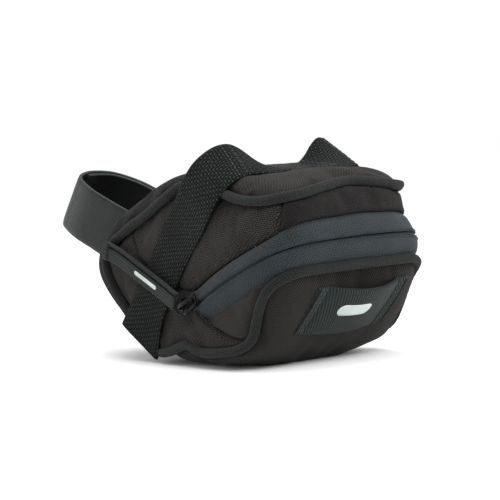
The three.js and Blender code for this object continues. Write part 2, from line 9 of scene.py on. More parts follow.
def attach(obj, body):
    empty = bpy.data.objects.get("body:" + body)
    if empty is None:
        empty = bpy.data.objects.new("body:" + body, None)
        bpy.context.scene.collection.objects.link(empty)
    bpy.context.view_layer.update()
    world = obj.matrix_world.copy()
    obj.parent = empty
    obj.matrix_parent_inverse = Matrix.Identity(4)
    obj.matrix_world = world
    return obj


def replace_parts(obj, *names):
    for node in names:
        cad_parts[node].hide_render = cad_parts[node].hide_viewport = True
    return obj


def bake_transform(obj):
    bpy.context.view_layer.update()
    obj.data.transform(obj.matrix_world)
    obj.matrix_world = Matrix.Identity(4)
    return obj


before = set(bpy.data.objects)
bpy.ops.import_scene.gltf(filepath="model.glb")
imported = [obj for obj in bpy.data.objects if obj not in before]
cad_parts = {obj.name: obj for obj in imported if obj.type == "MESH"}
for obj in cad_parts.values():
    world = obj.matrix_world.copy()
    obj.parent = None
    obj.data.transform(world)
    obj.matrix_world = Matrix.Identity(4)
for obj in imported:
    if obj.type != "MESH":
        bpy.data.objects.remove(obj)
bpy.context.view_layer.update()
MM = 0.001
BASE_MIDDLE = 72.0  # the points below are measured from the rear; the origin is the base's middle

# ---------------------------------------------------------------- camera
AZIMUTH, ELEVATION, ROLL = -41.0, 3.46, -3.51
DISTANCE, LENS = 1.0, 154.8
LOOK_AT = Vector((0.0, 8.0, 46.0)) * MM
AIM_RIGHT, AIM_UP = 0.97 * MM, 3.64 * MM


def camera():
    az, el, roll = (math.radians(a) for a in (AZIMUTH, ELEVATION, ROLL))
    back = Vector((math.sin(az) * math.cos(el), -math.cos(az) * math.cos(el), math.sin(el)))
    right = (-back).cross(Vector((0, 0, 1))).normalized()
    up = right.cross(-back)
    tilted = right * math.cos(roll) + up * math.sin(roll)
    up = up * math.cos(roll) - right * math.sin(roll)
    place = LOOK_AT + tilted * AIM_RIGHT + up * AIM_UP + back * DISTANCE
    data = bpy.data.cameras.new("camera")
    data.lens = LENS
    data.sensor_width = 36
    data.clip_start = 0.01
    ob = bpy.data.objects.new("camera", data)
    ob.matrix_world = Matrix.Translation(place) @ Matrix((tilted, up, back)).transposed().to_4x4()
    bpy.context.scene.collection.objects.link(ob)
    bpy.context.scene.camera = ob


camera()

# ---------------------------------------------------------------- the body's surface
CORE = np.array([0.0, 82.0, 46.0])
ROUNDNESS = 8
MIDDLE_FACES = [(94.7, 0.05, 47), (94.7, -0.05, 47), (67.8, 0, 43.4), (28.9, 0, 77.5),
                (-58.2, 0, 53.6), (-90, 0, 49.5), (-141.2, 0, 64.5), (168, 0, 83)]
SIDE_FACES = [((1, 0, 0.1), 49), ((0.99, 0.14, 0.03), 40)]


def arr(*rows):
    return np.array(rows, float)


def unit(v):
    return v / np.maximum(np.linalg.norm(v, axis=-1, keepdims=True), 1e-9)


def body_faces():
    normals, distances = [], []
    for angle, lean, distance in MIDDLE_FACES:
        a = math.radians(angle)
        normals.append((lean, math.cos(a), math.sin(a)))
        distances.append(distance)
    for side in (1, -1):
        for n, distance in SIDE_FACES:
            normals.append((side * n[0], n[1], n[2]))
            distances.append(distance)
    return unit(np.array(normals, float)), np.array(distances, float)


NORMALS, DISTANCES = body_faces()


def on_body(p, proud=0.0):
    """Moves points along their rays from CORE to the fabric's face, plus proud outwards."""
    ray = unit(np.asarray(p, float) - CORE)
    share = np.maximum(0, ray @ NORMALS.T / DISTANCES)
    reach = (share ** ROUNDNESS).sum(-1) ** (-1 / ROUNDNESS) + proud
    q = CORE + ray * reach[..., None]
    q[..., 2] = np.maximum(q[..., 2], -np.minimum(proud, 0))
    return q


def body_normal(p):
    """Outward direction of the body's face near points."""
    share = np.maximum(0, (np.asarray(p, float) - CORE) @ NORMALS.T / DISTANCES)
    n = unit((share ** (ROUNDNESS - 1) / DISTANCES) @ NORMALS)
    flat = np.clip((0.6 - np.asarray(p)[..., 2:3]) / 0.6, 0, 1)
    return unit(n * (1 - flat) + arr(0, 0, -1) * flat)


# ---------------------------------------------------------------- curves and patches
def spline(points, t):
    """A smooth curve through the points, where t counts them from 0."""
    p = np.asarray(points, float)
    last = len(p) - 1
    p = np.vstack([2 * p[0] - p[1], p, 2 * p[-1] - p[-2]])
    t = np.clip(t, 0, last)
    i = np.minimum(t.astype(int), last - 1)
    f = (t - i)[..., None]
    a, b, c, d = p[i], p[i + 1], p[i + 2], p[i + 3]
    return 0.5 * (2 * b + (c - a) * f + (2 * a - 5 * b + 4 * c - d) * f ** 2
                  + (3 * b - a - 3 * c + d) * f ** 3)


def stretch(points, start=0, end=None):
    end = len(points) - 1 if end is None else end
    return lambda t: spline(points, start + (end - start) * np.asarray(t, float))


def mirror(p):
    return np.asarray(p, float) * arr(-1, 1, 1)


def backwards(line):
    return lambda t: line(1 - np.asarray(t, float))


def mirrored(line):
    return lambda t: mirror(line(t))


def across_middle(half):
    def line(t):
        p = half(np.abs(1 - 2 * np.asarray(t, float)))
        p[..., 0] *= np.where(np.asarray(t) > 0.5, -1, 1)
        return p
    return line


def straight(a, b):
    a, b = np.asarray(a, float), np.asarray(b, float)
    return lambda t: a + (b - a) * np.asarray(t, float)[..., None]


def patch(bottom, top, start, end):
    """A four-sided patch: u runs along bottom and top, v from bottom to top."""
    corners = [line(np.array(t)) for line, t in ((bottom, 0.0), (bottom, 1.0), (top, 0.0), (top, 1.0))]

    def at(u, v):
        uu, vv = u[..., None], v[..., None]
        p = bottom(u) * (1 - vv) + top(u) * vv + start(v) * (1 - uu) + end(v) * uu
        p -= corners[0] * (1 - uu) * (1 - vv) + corners[1] * uu * (1 - vv)
        return p - corners[2] * (1 - uu) * vv - corners[3] * uu * vv
    return at


def grid_uv(rows, columns, margin=0.0):
    ends = (margin, 1 - margin)
    return np.meshgrid(np.linspace(*ends, columns + 1), np.linspace(*ends, rows + 1))


def along(p, axis):
    """Length from the grid's first row or column to each point, in millimetres."""
    step = np.linalg.norm(np.diff(p, axis=axis), axis=-1)
    pad = [(0, 0), (0, 0)]
    pad[axis] = (1, 0)
    return np.cumsum(np.pad(step, pad), axis=axis)


def grid_normals(p):
    dv, du = np.gradient(p, axis=(0, 1))
    return unit(np.cross(du, dv))


def smooth_noise(p, size, seed):
    """Gentle waves of about that size, from a few sines in fixed random directions."""
    rng = np.random.default_rng(seed)
    total = np.zeros(p.shape[:-1])
    for _ in range(7):
        direction = unit(rng.normal(size=3)) * 2 * math.pi / (size * rng.uniform(0.7, 1.5))
        total += np.sin(p @ direction + rng.uniform(0, 6.28))
    return total / 7


def ridge(p, a, b, height, width):
    """A soft fold between two points, fading at its ends."""
    a, b = np.asarray(a, float), np.asarray(b, float)
    d = b - a
    t = ((p - a) @ d) / (d @ d)
    distance = np.linalg.norm(p - (a + np.clip(t, 0, 1)[..., None] * d), axis=-1)
    fade = np.clip(4 * t, 0, 1) * np.clip(4 * (1 - t), 0, 1)
    return height * np.exp(-(distance / width) ** 2) * fade


# ---------------------------------------------------------------- meshes
def smooth_step(t):
    t = np.clip(t, 0, 1)
    return t * t * (3 - 2 * t)


SLUMP, SLUMP_HEIGHT, SLUMP_REACH = arr(-5.5, 4.0, 0), 65, 17


def slump(p):
    """The right rear corner has slumped inwards above the zip."""
    x, y, z = (p[..., k] for k in range(3))
    across, back = smooth_step((x - 12) / 28), smooth_step((42 - y) / 30)
    share = across * back * np.exp(-((z - SLUMP_HEIGHT) / SLUMP_REACH) ** 2)
    return p + share[..., None] * SLUMP


def shift(p):
    return (np.asarray(p, float) - arr(0, BASE_MIDDLE, 0)) * MM


def add_mesh(name, points, faces, uv, material):
    mesh = bpy.data.meshes.new(name)
    placed = shift(slump(np.asarray(points, float))).reshape(-1, 3)
    mesh.from_pydata(placed.tolist(), [], [list(map(int, f)) for f in faces])
    layer = mesh.uv_layers.new(name="UVMap")
    index = np.empty(len(mesh.loops), np.int32)
    mesh.loops.foreach_get("vertex_index", index)
    layer.data.foreach_set("uv", np.asarray(uv, float).reshape(-1, 2)[index].ravel())
    mesh.polygons.foreach_set("use_smooth", [True] * len(mesh.polygons))
    mesh.materials.append(material)
    mesh.validate()
    ob = bpy.data.objects.new(name, mesh)
    bpy.context.scene.collection.objects.link(ob)
    return ob


def grid_faces(rows, columns, offset=0, flip=False):
    r, c = np.mgrid[0:rows, 0:columns]
    a = (offset + r * (columns + 1) + c).ravel()
    quads = np.stack([a, a + 1, a + columns + 2, a + columns + 1], axis=1)
    return quads[:, ::-1] if flip else quads


def sheet_mesh(name, outer, thickness, uv, material, inside=None, away=CORE):
    """A closed sheet: outer is a grid of points, and the inner face lies a thickness behind."""
    rows, columns = outer.shape[0] - 1, outer.shape[1] - 1
    normals = grid_normals(outer)
    if (normals * (outer - away)).sum() < 0:
        normals = -normals
    inner = outer - normals * np.asarray(thickness, float)[..., None]
    size = (rows + 1) * (columns + 1)
    at = lambda r, c: r * (columns + 1) + c
    rim = [at(0, c) for c in range(columns)] + [at(r, columns) for r in range(rows)]
    rim += [at(rows, c) for c in range(columns, 0, -1)] + [at(r, 0) for r in range(rows, 0, -1)]
    rim = np.array(rim)
    nxt = np.roll(rim, -1)
    side = np.stack([nxt, rim, rim + size, nxt + size], axis=1)
    faces = np.vstack([grid_faces(rows, columns), grid_faces(rows, columns, size, True), side])
    middle = (rows // 2, columns // 2)
    du = outer[middle[0], middle[1] + 1] - outer[middle]
    dv = outer[middle[0] + 1, middle[1]] - outer[middle]
    if np.cross(du, dv) @ normals[middle] < 0:
        faces = faces[:, ::-1]
    points = np.concatenate([outer.reshape(-1, 3), inner.reshape(-1, 3)])
    ob = add_mesh(name, points, faces, np.concatenate([uv.reshape(-1, 2)] * 2), material)
    if inside:
        ob.data.materials.append(inside)
        back = np.zeros(len(faces), np.int32)
        back[rows * columns:2 * rows * columns] = 1
        ob.data.polygons.foreach_set("material_index", back)
    return ob


def frames_along(route, up):
    """Side and up directions at each point of a route."""
    tangent = unit(np.gradient(route, axis=0))
    up = unit(up - (up * tangent).sum(-1, keepdims=True) * tangent)
    return np.cross(tangent, up), up


def tube(name, route, radius, up, material, sides=14, flatten=1.0):
    """A bead along a route; radius may change along it, and up is the body's normal."""
    side, up = frames_along(route, up)
    radius = np.broadcast_to(radius, len(route))
    angle = np.linspace(0, 2 * math.pi, sides + 1)
    ring = side[:, None] * np.cos(angle)[None, :, None] \
        + up[:, None] * np.sin(angle)[None, :, None] * flatten
    points = route[:, None] + ring * radius[:, None, None]
    length = along(points, 0)[:, :1]
    uv = np.stack(np.broadcast_arrays(angle[None] * radius.mean(), length), axis=-1)
    rows = len(route) - 1
    faces = [list(f) for f in grid_faces(rows, sides)]
    faces.append(list(range(sides))[::-1])
    faces.append([rows * (sides + 1) + i for i in range(sides)])
    ob = add_mesh(name, points, faces, uv, material)
    weld(ob)
    return ob


def weld(ob, distance=1e-6):
    bm = bmesh.new()
    bm.from_mesh(ob.data)
    bmesh.ops.remove_doubles(bm, verts=bm.verts, dist=distance)
    bmesh.ops.recalc_face_normals(bm, faces=bm.faces)
    bm.to_mesh(ob.data)
    bm.free()


def blobs(name, centres, directions, normals, size, material, sides=6, rings=4):
    """Many small rounded stitches: size is (length, width, height)."""
    length, width, height = size
    across = np.cross(normals, directions)
    phi = np.linspace(0, math.pi, rings + 1)[1:-1]
    theta = np.linspace(0, 2 * math.pi, sides, endpoint=False)
    shape = [(math.cos(a), math.sin(a) * math.cos(b), math.sin(a) * math.sin(b))
             for a in phi for b in theta] + [(1, 0, 0), (-1, 0, 0)]
    shape = np.array(shape) * arr(length, width, height) / 2
    axes = np.stack([directions, across, normals], axis=1)
    points = centres[:, None] + np.einsum("sk,nkd->nsd", shape, axes)
    one, top, bottom = [], len(shape) - 2, len(shape) - 1
    for r in range(rings - 2):
        for s in range(sides):
            n = (s + 1) % sides
            one.append([r * sides + s, r * sides + n, (r + 1) * sides + n, (r + 1) * sides + s])
    for s in range(sides):
        n = (s + 1) % sides
        one.append([s, top, n])
        one.append([(rings - 2) * sides + s, (rings - 2) * sides + n, bottom])
    faces = [[i + k * len(shape) for i in f] for k in range(len(centres)) for f in one]
    uv = np.tile(shape[:, :2], (len(centres), 1))
    return add_mesh(name, points, faces, uv, material)


# ---------------------------------------------------------------- materials
class Nodes:
    """Short ways to wire a material's nodes."""

    def __init__(self, name):
        self.material = bpy.data.materials.new(name)
        self.material.use_nodes = True
        self.tree = self.material.node_tree
        self.shader = self.tree.nodes["Principled BSDF"]
        self.uv = self.tree.nodes.new("ShaderNodeUVMap").outputs["UV"]

    def put(self, socket, value):
        if isinstance(value, bpy.types.NodeSocket):
            self.tree.links.new(value, socket)
        else:
            socket.default_value = value

    def math(self, operation, a, b=0.0, c=0.0):
        node = self.tree.nodes.new("ShaderNodeMath")
        node.operation = operation
        for socket, value in zip(node.inputs, (a, b, c)):
            self.put(socket, value)
        return node.outputs[0]

    def split(self, vector):
        node = self.tree.nodes.new("ShaderNodeSeparateXYZ")
        self.put(node.inputs[0], vector)
        return node.outputs["X"], node.outputs["Y"]

    def scaled(self, vector, scale):
        node = self.tree.nodes.new("ShaderNodeVectorMath")
        node.operation = "MULTIPLY"
        self.put(node.inputs[0], vector)
        node.inputs[1].default_value = scale
        return node.outputs[0]

    def position(self):
        return self.tree.nodes.new("ShaderNodeTexCoord").outputs["Object"]

    def noise(self, vector, scale, detail=2.0):
        node = self.tree.nodes.new("ShaderNodeTexNoise")
        self.put(node.inputs["Vector"], vector)
        node.inputs["Scale"].default_value = scale
        node.inputs["Detail"].default_value = detail
        return node.outputs["Fac"]

    def ramp(self, value, low, high):
        node = self.tree.nodes.new("ShaderNodeMapRange")
        self.put(node.inputs["Value"], value)
        node.inputs["From Min"].default_value = low
        node.inputs["From Max"].default_value = high
        return node.outputs["Result"]

    def mix(self, share, a, b):
        node = self.tree.nodes.new("ShaderNodeMix")
        node.data_type = "RGBA"
        self.put(node.inputs[0], share)
        for socket, colour in ((node.inputs[6], a), (node.inputs[7], b)):
            self.put(socket, colour if isinstance(colour, bpy.types.NodeSocket) else (*colour, 1))
        return node.outputs[2]

    def wave(self, value, pitch):
        """The sine of a length in millimetres that repeats every pitch."""
        return self.math("SINE", self.math("MULTIPLY", value, 2 * math.pi / pitch))

    def bump(self, height, depth, strength=1.0):
        node = self.tree.nodes.new("ShaderNodeBump")
        self.put(node.inputs["Height"], height)
        node.inputs["Distance"].default_value = depth * MM
        node.inputs["Strength"].default_value = strength
        self.put(self.shader.inputs["Normal"], node.outputs["Normal"])

    def finish(self, colour, roughness, specular=0.35, sheen=0.0):
        s = self.shader.inputs
        self.put(s["Base Color"], colour if isinstance(colour, bpy.types.NodeSocket) else (*colour, 1))
        self.put(s["Roughness"], roughness)
        s["Specular IOR Level"].default_value = specular
        s["Sheen Weight"].default_value = sheen
        s["Sheen Roughness"].default_value = 0.5
        return self.material


def srgb(hexcode):
    channels = [int(hexcode[i:i + 2], 16) / 255 for i in (0, 2, 4)]
    return tuple(c / 12.92 if c <= 0.04045 else ((c + 0.055) / 1.055) ** 2.4 for c in channels)


def woven(name, dark, light, pitch, depth, roughness=0.9, sheen=0.25, ratio=1.0, turn=0.0, speckle=0.35,
          contrast=1.0):
    """Plain weave: yarns of that pitch cross over and under, each a little different."""
    n = Nodes(name)
    u, v = n.split(n.uv)
    if turn:
        c, s = math.cos(math.radians(turn)), math.sin(math.radians(turn))
        u, v = (n.math("ADD", n.math("MULTIPLY", u, c), n.math("MULTIPLY", v, s)),
                n.math("SUBTRACT", n.math("MULTIPLY", v, c), n.math("MULTIPLY", u, s)))
    across, over = n.wave(u, 2 * pitch), n.wave(v, 2 * pitch * ratio)
    checks = n.math("MULTIPLY", across, over)
    yarns = n.math("MULTIPLY", n.math("ABSOLUTE", across), n.math("ABSOLUTE", over))
    height = n.math("MULTIPLY_ADD", checks, 0.25, n.math("MULTIPLY", yarns, 0.75))
    lint = n.noise(n.scaled(n.uv, (1 / pitch, 1 / (pitch * ratio), 1)), 1.3, 3)
    patches = n.noise(n.position(), 45, 3)
    n.bump(n.math("MULTIPLY_ADD", lint, 0.5, height), depth)
    # The colour follows the weave's height: darker in the valleys between yarns as painted shade and lighter
    # on the yarn crowns as painted highlight, plus random lint speckle and patches.
    share = n.math("MULTIPLY_ADD", n.ramp(lint, 0.35, 0.7), speckle, n.math("MULTIPLY", height, 0.75))
    share = n.math("MULTIPLY_ADD", n.ramp(patches, 0.3, 0.7), 0.18, share)
    colour = n.mix(n.math("POWER", n.math("MINIMUM", share, 1.0), contrast), dark, light)
    return n.finish(colour, roughness, 0.1, sheen)


def ribbed(name, dark, light, pitch, depth, cross=0.45, roughness=0.75, sheen=0.3, lean=0.0):
    """Ribs along the webbing's width, with a fine cross thread and a slight lean like twill."""
    n = Nodes(name)
    u, v = n.split(n.uv)
    leaning = n.math("MULTIPLY_ADD", v, lean, u)
    rib = n.math("MULTIPLY_ADD", n.wave(leaning, pitch), 0.5, 0.5)
    thread = n.math("MULTIPLY_ADD", n.wave(v, cross), 0.5, 0.5)
    lint = n.noise(n.scaled(n.uv, (1.5, 1.5, 1)), 1.2, 3)
    height = n.math("MULTIPLY_ADD", thread, 0.35, rib)
    n.bump(n.math("MULTIPLY_ADD", lint, 0.4, height), depth)
    # The colour follows the rib height: darker between ribs as painted shade and lighter on their crowns as
    # painted highlight, plus random lint.
    share = n.math("MULTIPLY_ADD", n.ramp(lint, 0.35, 0.7), 0.3, n.math("MULTIPLY", height, 0.5))
    return n.finish(n.mix(n.math("MINIMUM", share, 1.0), dark, light), roughness, 0.15, sheen)


def plain(name, colour, roughness, specular=0.5, grain=0.15, scale=900):
    """Moulded plastic or printed film with a faint unevenness."""
    n = Nodes(name)
    unevenness = n.noise(n.position(), scale, 3)
    n.bump(unevenness, 0.05, grain)
    lighter = tuple(min(1, c * 1.25 + 0.003) for c in colour)
    return n.finish(n.mix(n.ramp(n.noise(n.position(), scale / 6, 2), 0.35, 0.65), colour, lighter),
                    roughness, specular)


SHELL = woven("shell polyester", srgb("060505"), srgb("46423f"), 0.85, 0.4, 0.92, 0.04, 1.0, 8, contrast=1.8)
# A darker copy of the shell for the front and rear-upper panels: painted shade where those faces turn away
# from the light.
SHADED_SHELL = woven("shell polyester darkened as painted shade", srgb("060505"), srgb("232120"), 0.85, 0.34, 0.92, 0.04,
                     1.0, 8)
BASE_SHELL = ribbed("base polyester", srgb("070605"), srgb("2a2825"), 1.35, 0.26, 0.75, 0.92, 0.04, 0.55)
GUSSET_CLOTH = ribbed("gusset cloth", srgb("0a0909"), srgb("34312f"), 1.25, 0.28, 0.75, 0.92, 0.04, -0.8)
PIPING_CLOTH = woven("piping cloth", srgb("060707"), srgb("2b2e2c"), 0.8, 0.28, 0.88, 0.05, 1.0, 30)
TAPE_CLOTH = woven("zip tape", srgb("07090b"), srgb("31383c"), 0.75, 0.24, 0.65, 0.06, 1.2, 0, 0.6)
WEBBING_CLOTH = woven("webbing", srgb("010101"), srgb("434b46"), 1.4, 1.2, 0.8, 0.01, 0.95, 0, 0.3, 2.8)
LOOP_WEBBING = ribbed("light loop webbing", srgb("050707"), srgb("2c3533"), 1.25, 0.4, 0.6, 0.75, 0.05, 0.35)
POST_WEBBING = ribbed("seatpost webbing", srgb("030404"), srgb("1e2523"), 0.7, 0.14, 0.45, 0.45, 0.06)
# The seatpost strap's inner face is a darker copy of its webbing: painted shade inside the loop.
POST_INNER_SHADE = woven("seatpost strap inner face with painted shade", srgb("010101"), srgb("0c100e"), 0.7, 0.2, 0.9, 0.02)
# The rail webbing's inner face is a darker copy of the webbing: painted shade on the strap's underside.
RAIL_UNDERSIDE_SHADE = woven("webbing underside with painted shade", srgb("010101"), srgb("161a18"), 1.4, 0.9, 0.9, 0.02)
PULL_WEBBING = ribbed("pull webbing", srgb("060706"), srgb("2d332f"), 1.3, 0.3, 0.9, 0.8, 0.04)
LINING = woven("lining", srgb("0a0a0a"), srgb("1d1d1d"), 0.5, 0.15, 0.85, 0.02)
COIL = plain("zip coil", srgb("050607"), 0.45, 0.3)
SLIDER_GLOSS = plain("slider enamel", srgb("020202"), 0.3, 0.12)
BOARD_PLASTIC = plain("stiffener board", srgb("1a1a1b"), 0.5)
SILVER_PRINT = plain("reflective print", srgb("a9b1ad"), 0.45, 0.5)
THREAD = plain("thread", srgb("3c4346"), 0.75, 0.2)
ZIP_THREAD = plain("zip thread", srgb("2b3236"), 0.7, 0.2)
DARK_THREAD = plain("dark thread", srgb("0e1010"), 0.8, 0.2)

# ---------------------------------------------------------------- seam lines
# On the left side, from the middle of the rear round to the front.
TOP_EDGE = arr((0, 12, 80), (-16, 11, 78), (-29, 10, 76), (-38, 13, 75), (-41, 22, 74),
               (-42, 33, 75), (-41, 46, 78), (-38, 62, 81), (-36, 79, 81), (-36, 94, 75),
               (-35, 110, 68), (-33, 125, 62), (-31, 138, 56), (-30, 147, 50), (-31, 147, 43),
               (-32, 140, 33), (-33, 128, 22), (-33, 116, 12), (-31, 108, 5))
TOP_CORNER, TOP_SPLIT, NOSE_SEAM_TOP = 3, 8, 11
ZIP_UPPER = arr((0, 6, 66), (-22, 6, 65), (-33, 7, 64), (-41, 12, 61), (-44, 27, 54.5),
                (-43, 42, 49), (-42, 58, 42), (-41, 74, 34.5), (-39, 92, 38), (-36, 107, 44),
                (-35, 117, 51), (-33, 125, 62))
ZIP_CORNER, ZIP_END, NOSE_SEAM = 3, 7, 11
ZIP_LOWER = arr((0, 7, 46.4), (-23, 7, 46.4), (-36, 9, 45.6), (-42.5, 14, 43.2),
                (-44, 26, 38.5), (-44, 40, 32), (-43, 54, 26), (-42, 67, 21))
LOWER_EDGE = arr((0, 8, 44), (-20, 7, 44), (-34, 8, 43.5), (-41, 12, 41), (-44, 18, 36),
                 (-44, 23, 30), (-44, 26, 23), (-43, 31, 15), (-43.2, 39, 10.8), (-43, 54, 8.6),
                 (-42, 66, 8.2), (-40.8, 77, 11), (-39.5, 85.5, 9.2), (-38, 93, 7.2), (-34, 104, 6.4))
LOWER_CORNER, GUSSET_FOOT = 3, 7
GUSSET_SEAM = arr((-43, 31, 15), (-44, 41, 15), (-44, 54, 18.5), (-42, 67, 21))

# ---------------------------------------------------------------- panels
FABRIC = 1.6
GRID = 1.3  # spacing of a panel's points
EDGES = {
    "piped": lambda e: -2.4 * np.exp(-(e / 2.7) ** 2),
    "seam": lambda e: -1.4 * np.exp(-(e / 1.2) ** 2) + 0.15 * np.exp(-((e - 2.4) / 1.2) ** 2),
    "folded": lambda e: 0.45 * np.exp(-((e - 1.8) / 1.2) ** 2) - 1.0 * np.exp(-(e / 0.6) ** 2),
    "under": lambda e: -1.7 * np.exp(-(e / 1.8) ** 2),
    "tucked": lambda e: -1.2 * np.exp(-(e / 1.0) ** 2),
}


def edge_distances(p):
    du, dv = along(p, 1), along(p, 0)
    return {"start": du, "end": du[:, -1:] - du, "bottom": dv, "top": dv[-1:] - dv}


def cross_panel(edge, start, end, rear, front):
    left = stretch(edge, start, end)
    return patch(left, mirrored(left), rear, front)


def panel_surfaces():
    """Name, surface, how each edge is sewn, and the plane its weave lies in."""
    last_top, last_low = len(TOP_EDGE) - 1, len(LOWER_EDGE) - 1
    split, foot, low_foot = TOP_EDGE[TOP_SPLIT], TOP_EDGE[last_top], LOWER_EDGE[last_low]
    split_line = straight(split, mirror(split))
    rear_top = across_middle(stretch(TOP_EDGE, 0, TOP_CORNER))
    rear_low = across_middle(stretch(LOWER_EDGE, 0, LOWER_CORNER))
    corner = straight(ZIP_UPPER[ZIP_CORNER], TOP_EDGE[TOP_CORNER])
    right_corner = straight(mirror(ZIP_UPPER[ZIP_CORNER]), mirror(TOP_EDGE[TOP_CORNER]))
    yield ("top_panel", cross_panel(TOP_EDGE, TOP_CORNER, TOP_SPLIT, rear_top, split_line),
           dict(start="piped", end="seam", bottom="piped", top="piped"), "across")
    yield ("front_panel",
           cross_panel(TOP_EDGE, TOP_SPLIT, last_top, split_line, straight(foot, mirror(foot))),
           dict(start="seam", end="seam", bottom="piped", top="piped"), "across")
    yield ("base_panel",
           cross_panel(LOWER_EDGE, LOWER_CORNER, last_low, rear_low, straight(low_foot, mirror(low_foot))),
           dict(start="piped", end="seam", bottom="piped", top="piped"), "across")
    yield ("rear_upper_panel",
           patch(across_middle(stretch(ZIP_UPPER, 0, ZIP_CORNER)), rear_top, corner, right_corner),
           dict(start="seam", end="seam", bottom="folded", top="piped"), "along")
    side = patch(stretch(ZIP_UPPER, ZIP_CORNER, NOSE_SEAM - 1), stretch(TOP_EDGE, TOP_CORNER, NOSE_SEAM_TOP),
                 corner, stretch(ZIP_UPPER, NOSE_SEAM - 1, NOSE_SEAM))
    yield "side_panel", side, dict(start="seam", end="seam", bottom="folded", top="piped"), "side"
    zip_end = np.vstack([ZIP_LOWER[-1:], ZIP_UPPER[ZIP_END:]])
    lower = patch(stretch(LOWER_EDGE, GUSSET_FOOT, last_low), stretch(zip_end), stretch(GUSSET_SEAM),
                  backwards(stretch(TOP_EDGE, NOSE_SEAM_TOP, last_top)))
    yield "lower_side_panel", lower, dict(start="under", end="piped", bottom="piped", top="tucked"), "side"
    gusset = patch(stretch(LOWER_EDGE, LOWER_CORNER, GUSSET_FOOT),
                   stretch(ZIP_LOWER, LOWER_CORNER, len(ZIP_LOWER) - 1),
                   straight(LOWER_EDGE[LOWER_CORNER], ZIP_LOWER[LOWER_CORNER]), stretch(GUSSET_SEAM))
    yield "gusset", gusset, dict(start="tucked", end="folded", bottom="piped", top="tucked"), "side"


# Soft folds in the cloth, left side: from, to, height and width.
FOLDS = {
    "side_panel": [((-44, 62, 50), (-42, 40, 76), -1.4, 4), ((-42, 84, 76), (-40, 96, 52), -1.9, 3.5),
                   ((-43, 20, 72), (-44, 42, 56), 1.3, 6), ((-44, 40, 74), (-44, 56, 56), 1.2, 5),
                   ((-41, 92, 66), (-39, 112, 56), 1.2, 5), ((-44, 30, 66), (-44, 48, 62), -1.0, 3)],
    "lower_side_panel": [((-41, 76, 24), (-41, 58, 14), -1.8, 2.6), ((-42, 60, 21), (-42, 76, 12), 1.4, 4),
                         ((-40, 84, 26), (-38, 100, 12), -1.3, 4.5),
                         ((-36, 112, 40), (-34, 128, 30), 1.0, 6)],
    "top_panel": [((-12, 43, 86), (-34, 47, 84), -2.4, 13), ((-30, 24, 80), (0, 18, 82), 0.8, 7)],
    "base_panel": [((-43, 30, 26), (-42, 44, 12), -1.2, 4), ((-36, 14, 34), (-24, 34, 8), 1.1, 8),
                   ((-10, 38, 4), (-34, 52, 3), 0.8, 5), ((-38, 40, 8), (-36, 66, 3), -0.9, 4)],
    "rear_upper_panel": [((-30, 8, 72), (-8, 9, 71), 1.0, 5)],
}


BASE_REST, BASE_AHEAD = 16, 84  # the base rests on this half width, back from this far forward


def panel_grid(name, surface, edges):
    """Points of a panel's outer face, before the cloth settles."""
    probe = on_body(surface(*grid_uv(12, 12)))
    columns = int(along(probe, 1)[:, -1].max() / GRID) + 2
    rows = int(along(probe, 0)[-1].max() / GRID) + 2
    flat = on_body(surface(*grid_uv(rows, columns)))
    normals = body_normal(flat)
    lift = smooth_noise(flat, 38, 3) * 0.5 + smooth_noise(flat, 15, 4) * 0.15
    for fold in FOLDS.get(name, []):
        lift += ridge(flat, *fold)
        if name in ("top_panel", "base_panel", "rear_upper_panel"):
            lift += ridge(flat, mirror(fold[0]), mirror(fold[1]), *fold[2:])
    inside = 1.0
    distances = edge_distances(flat)
    for distance in distances.values():
        inside = inside * (1 - np.exp(-distance / 6))
    lift = (lift + 0.5) * inside
    for edge, kind in edges.items():
        lift = lift + EDGES[kind](distances[edge])
    points = flat + normals * lift[..., None]
    if name == "base_panel":
        low = np.exp(-(flat[..., 2] / 5) ** 2)
        side, ahead = np.abs(flat[..., 0]) - BASE_REST, flat[..., 1] - BASE_AHEAD
        points[..., 2] += low * (0.16 * np.clip(side, 0, 22) + 0.12 * np.clip(ahead, 0, 20))
    points[..., 2] = np.where(flat[..., 2] < 0.05, np.maximum(points[..., 2], 0), points[..., 2])
    return points


def weave_uv(points, plane):
    if plane == "side":
        return np.stack([points[..., 1], points[..., 2]], axis=-1)
    du, dv = along(points, 1), along(points, 0)
    du, dv = du - du[:, du.shape[1] // 2, None], dv - dv[dv.shape[0] // 2]
    return np.stack([dv, du] if plane == "across" else [du, dv], axis=-1)


SWELL, SWELL_CAP, SWELL_FRAMES = 1.5, 1.5, 20


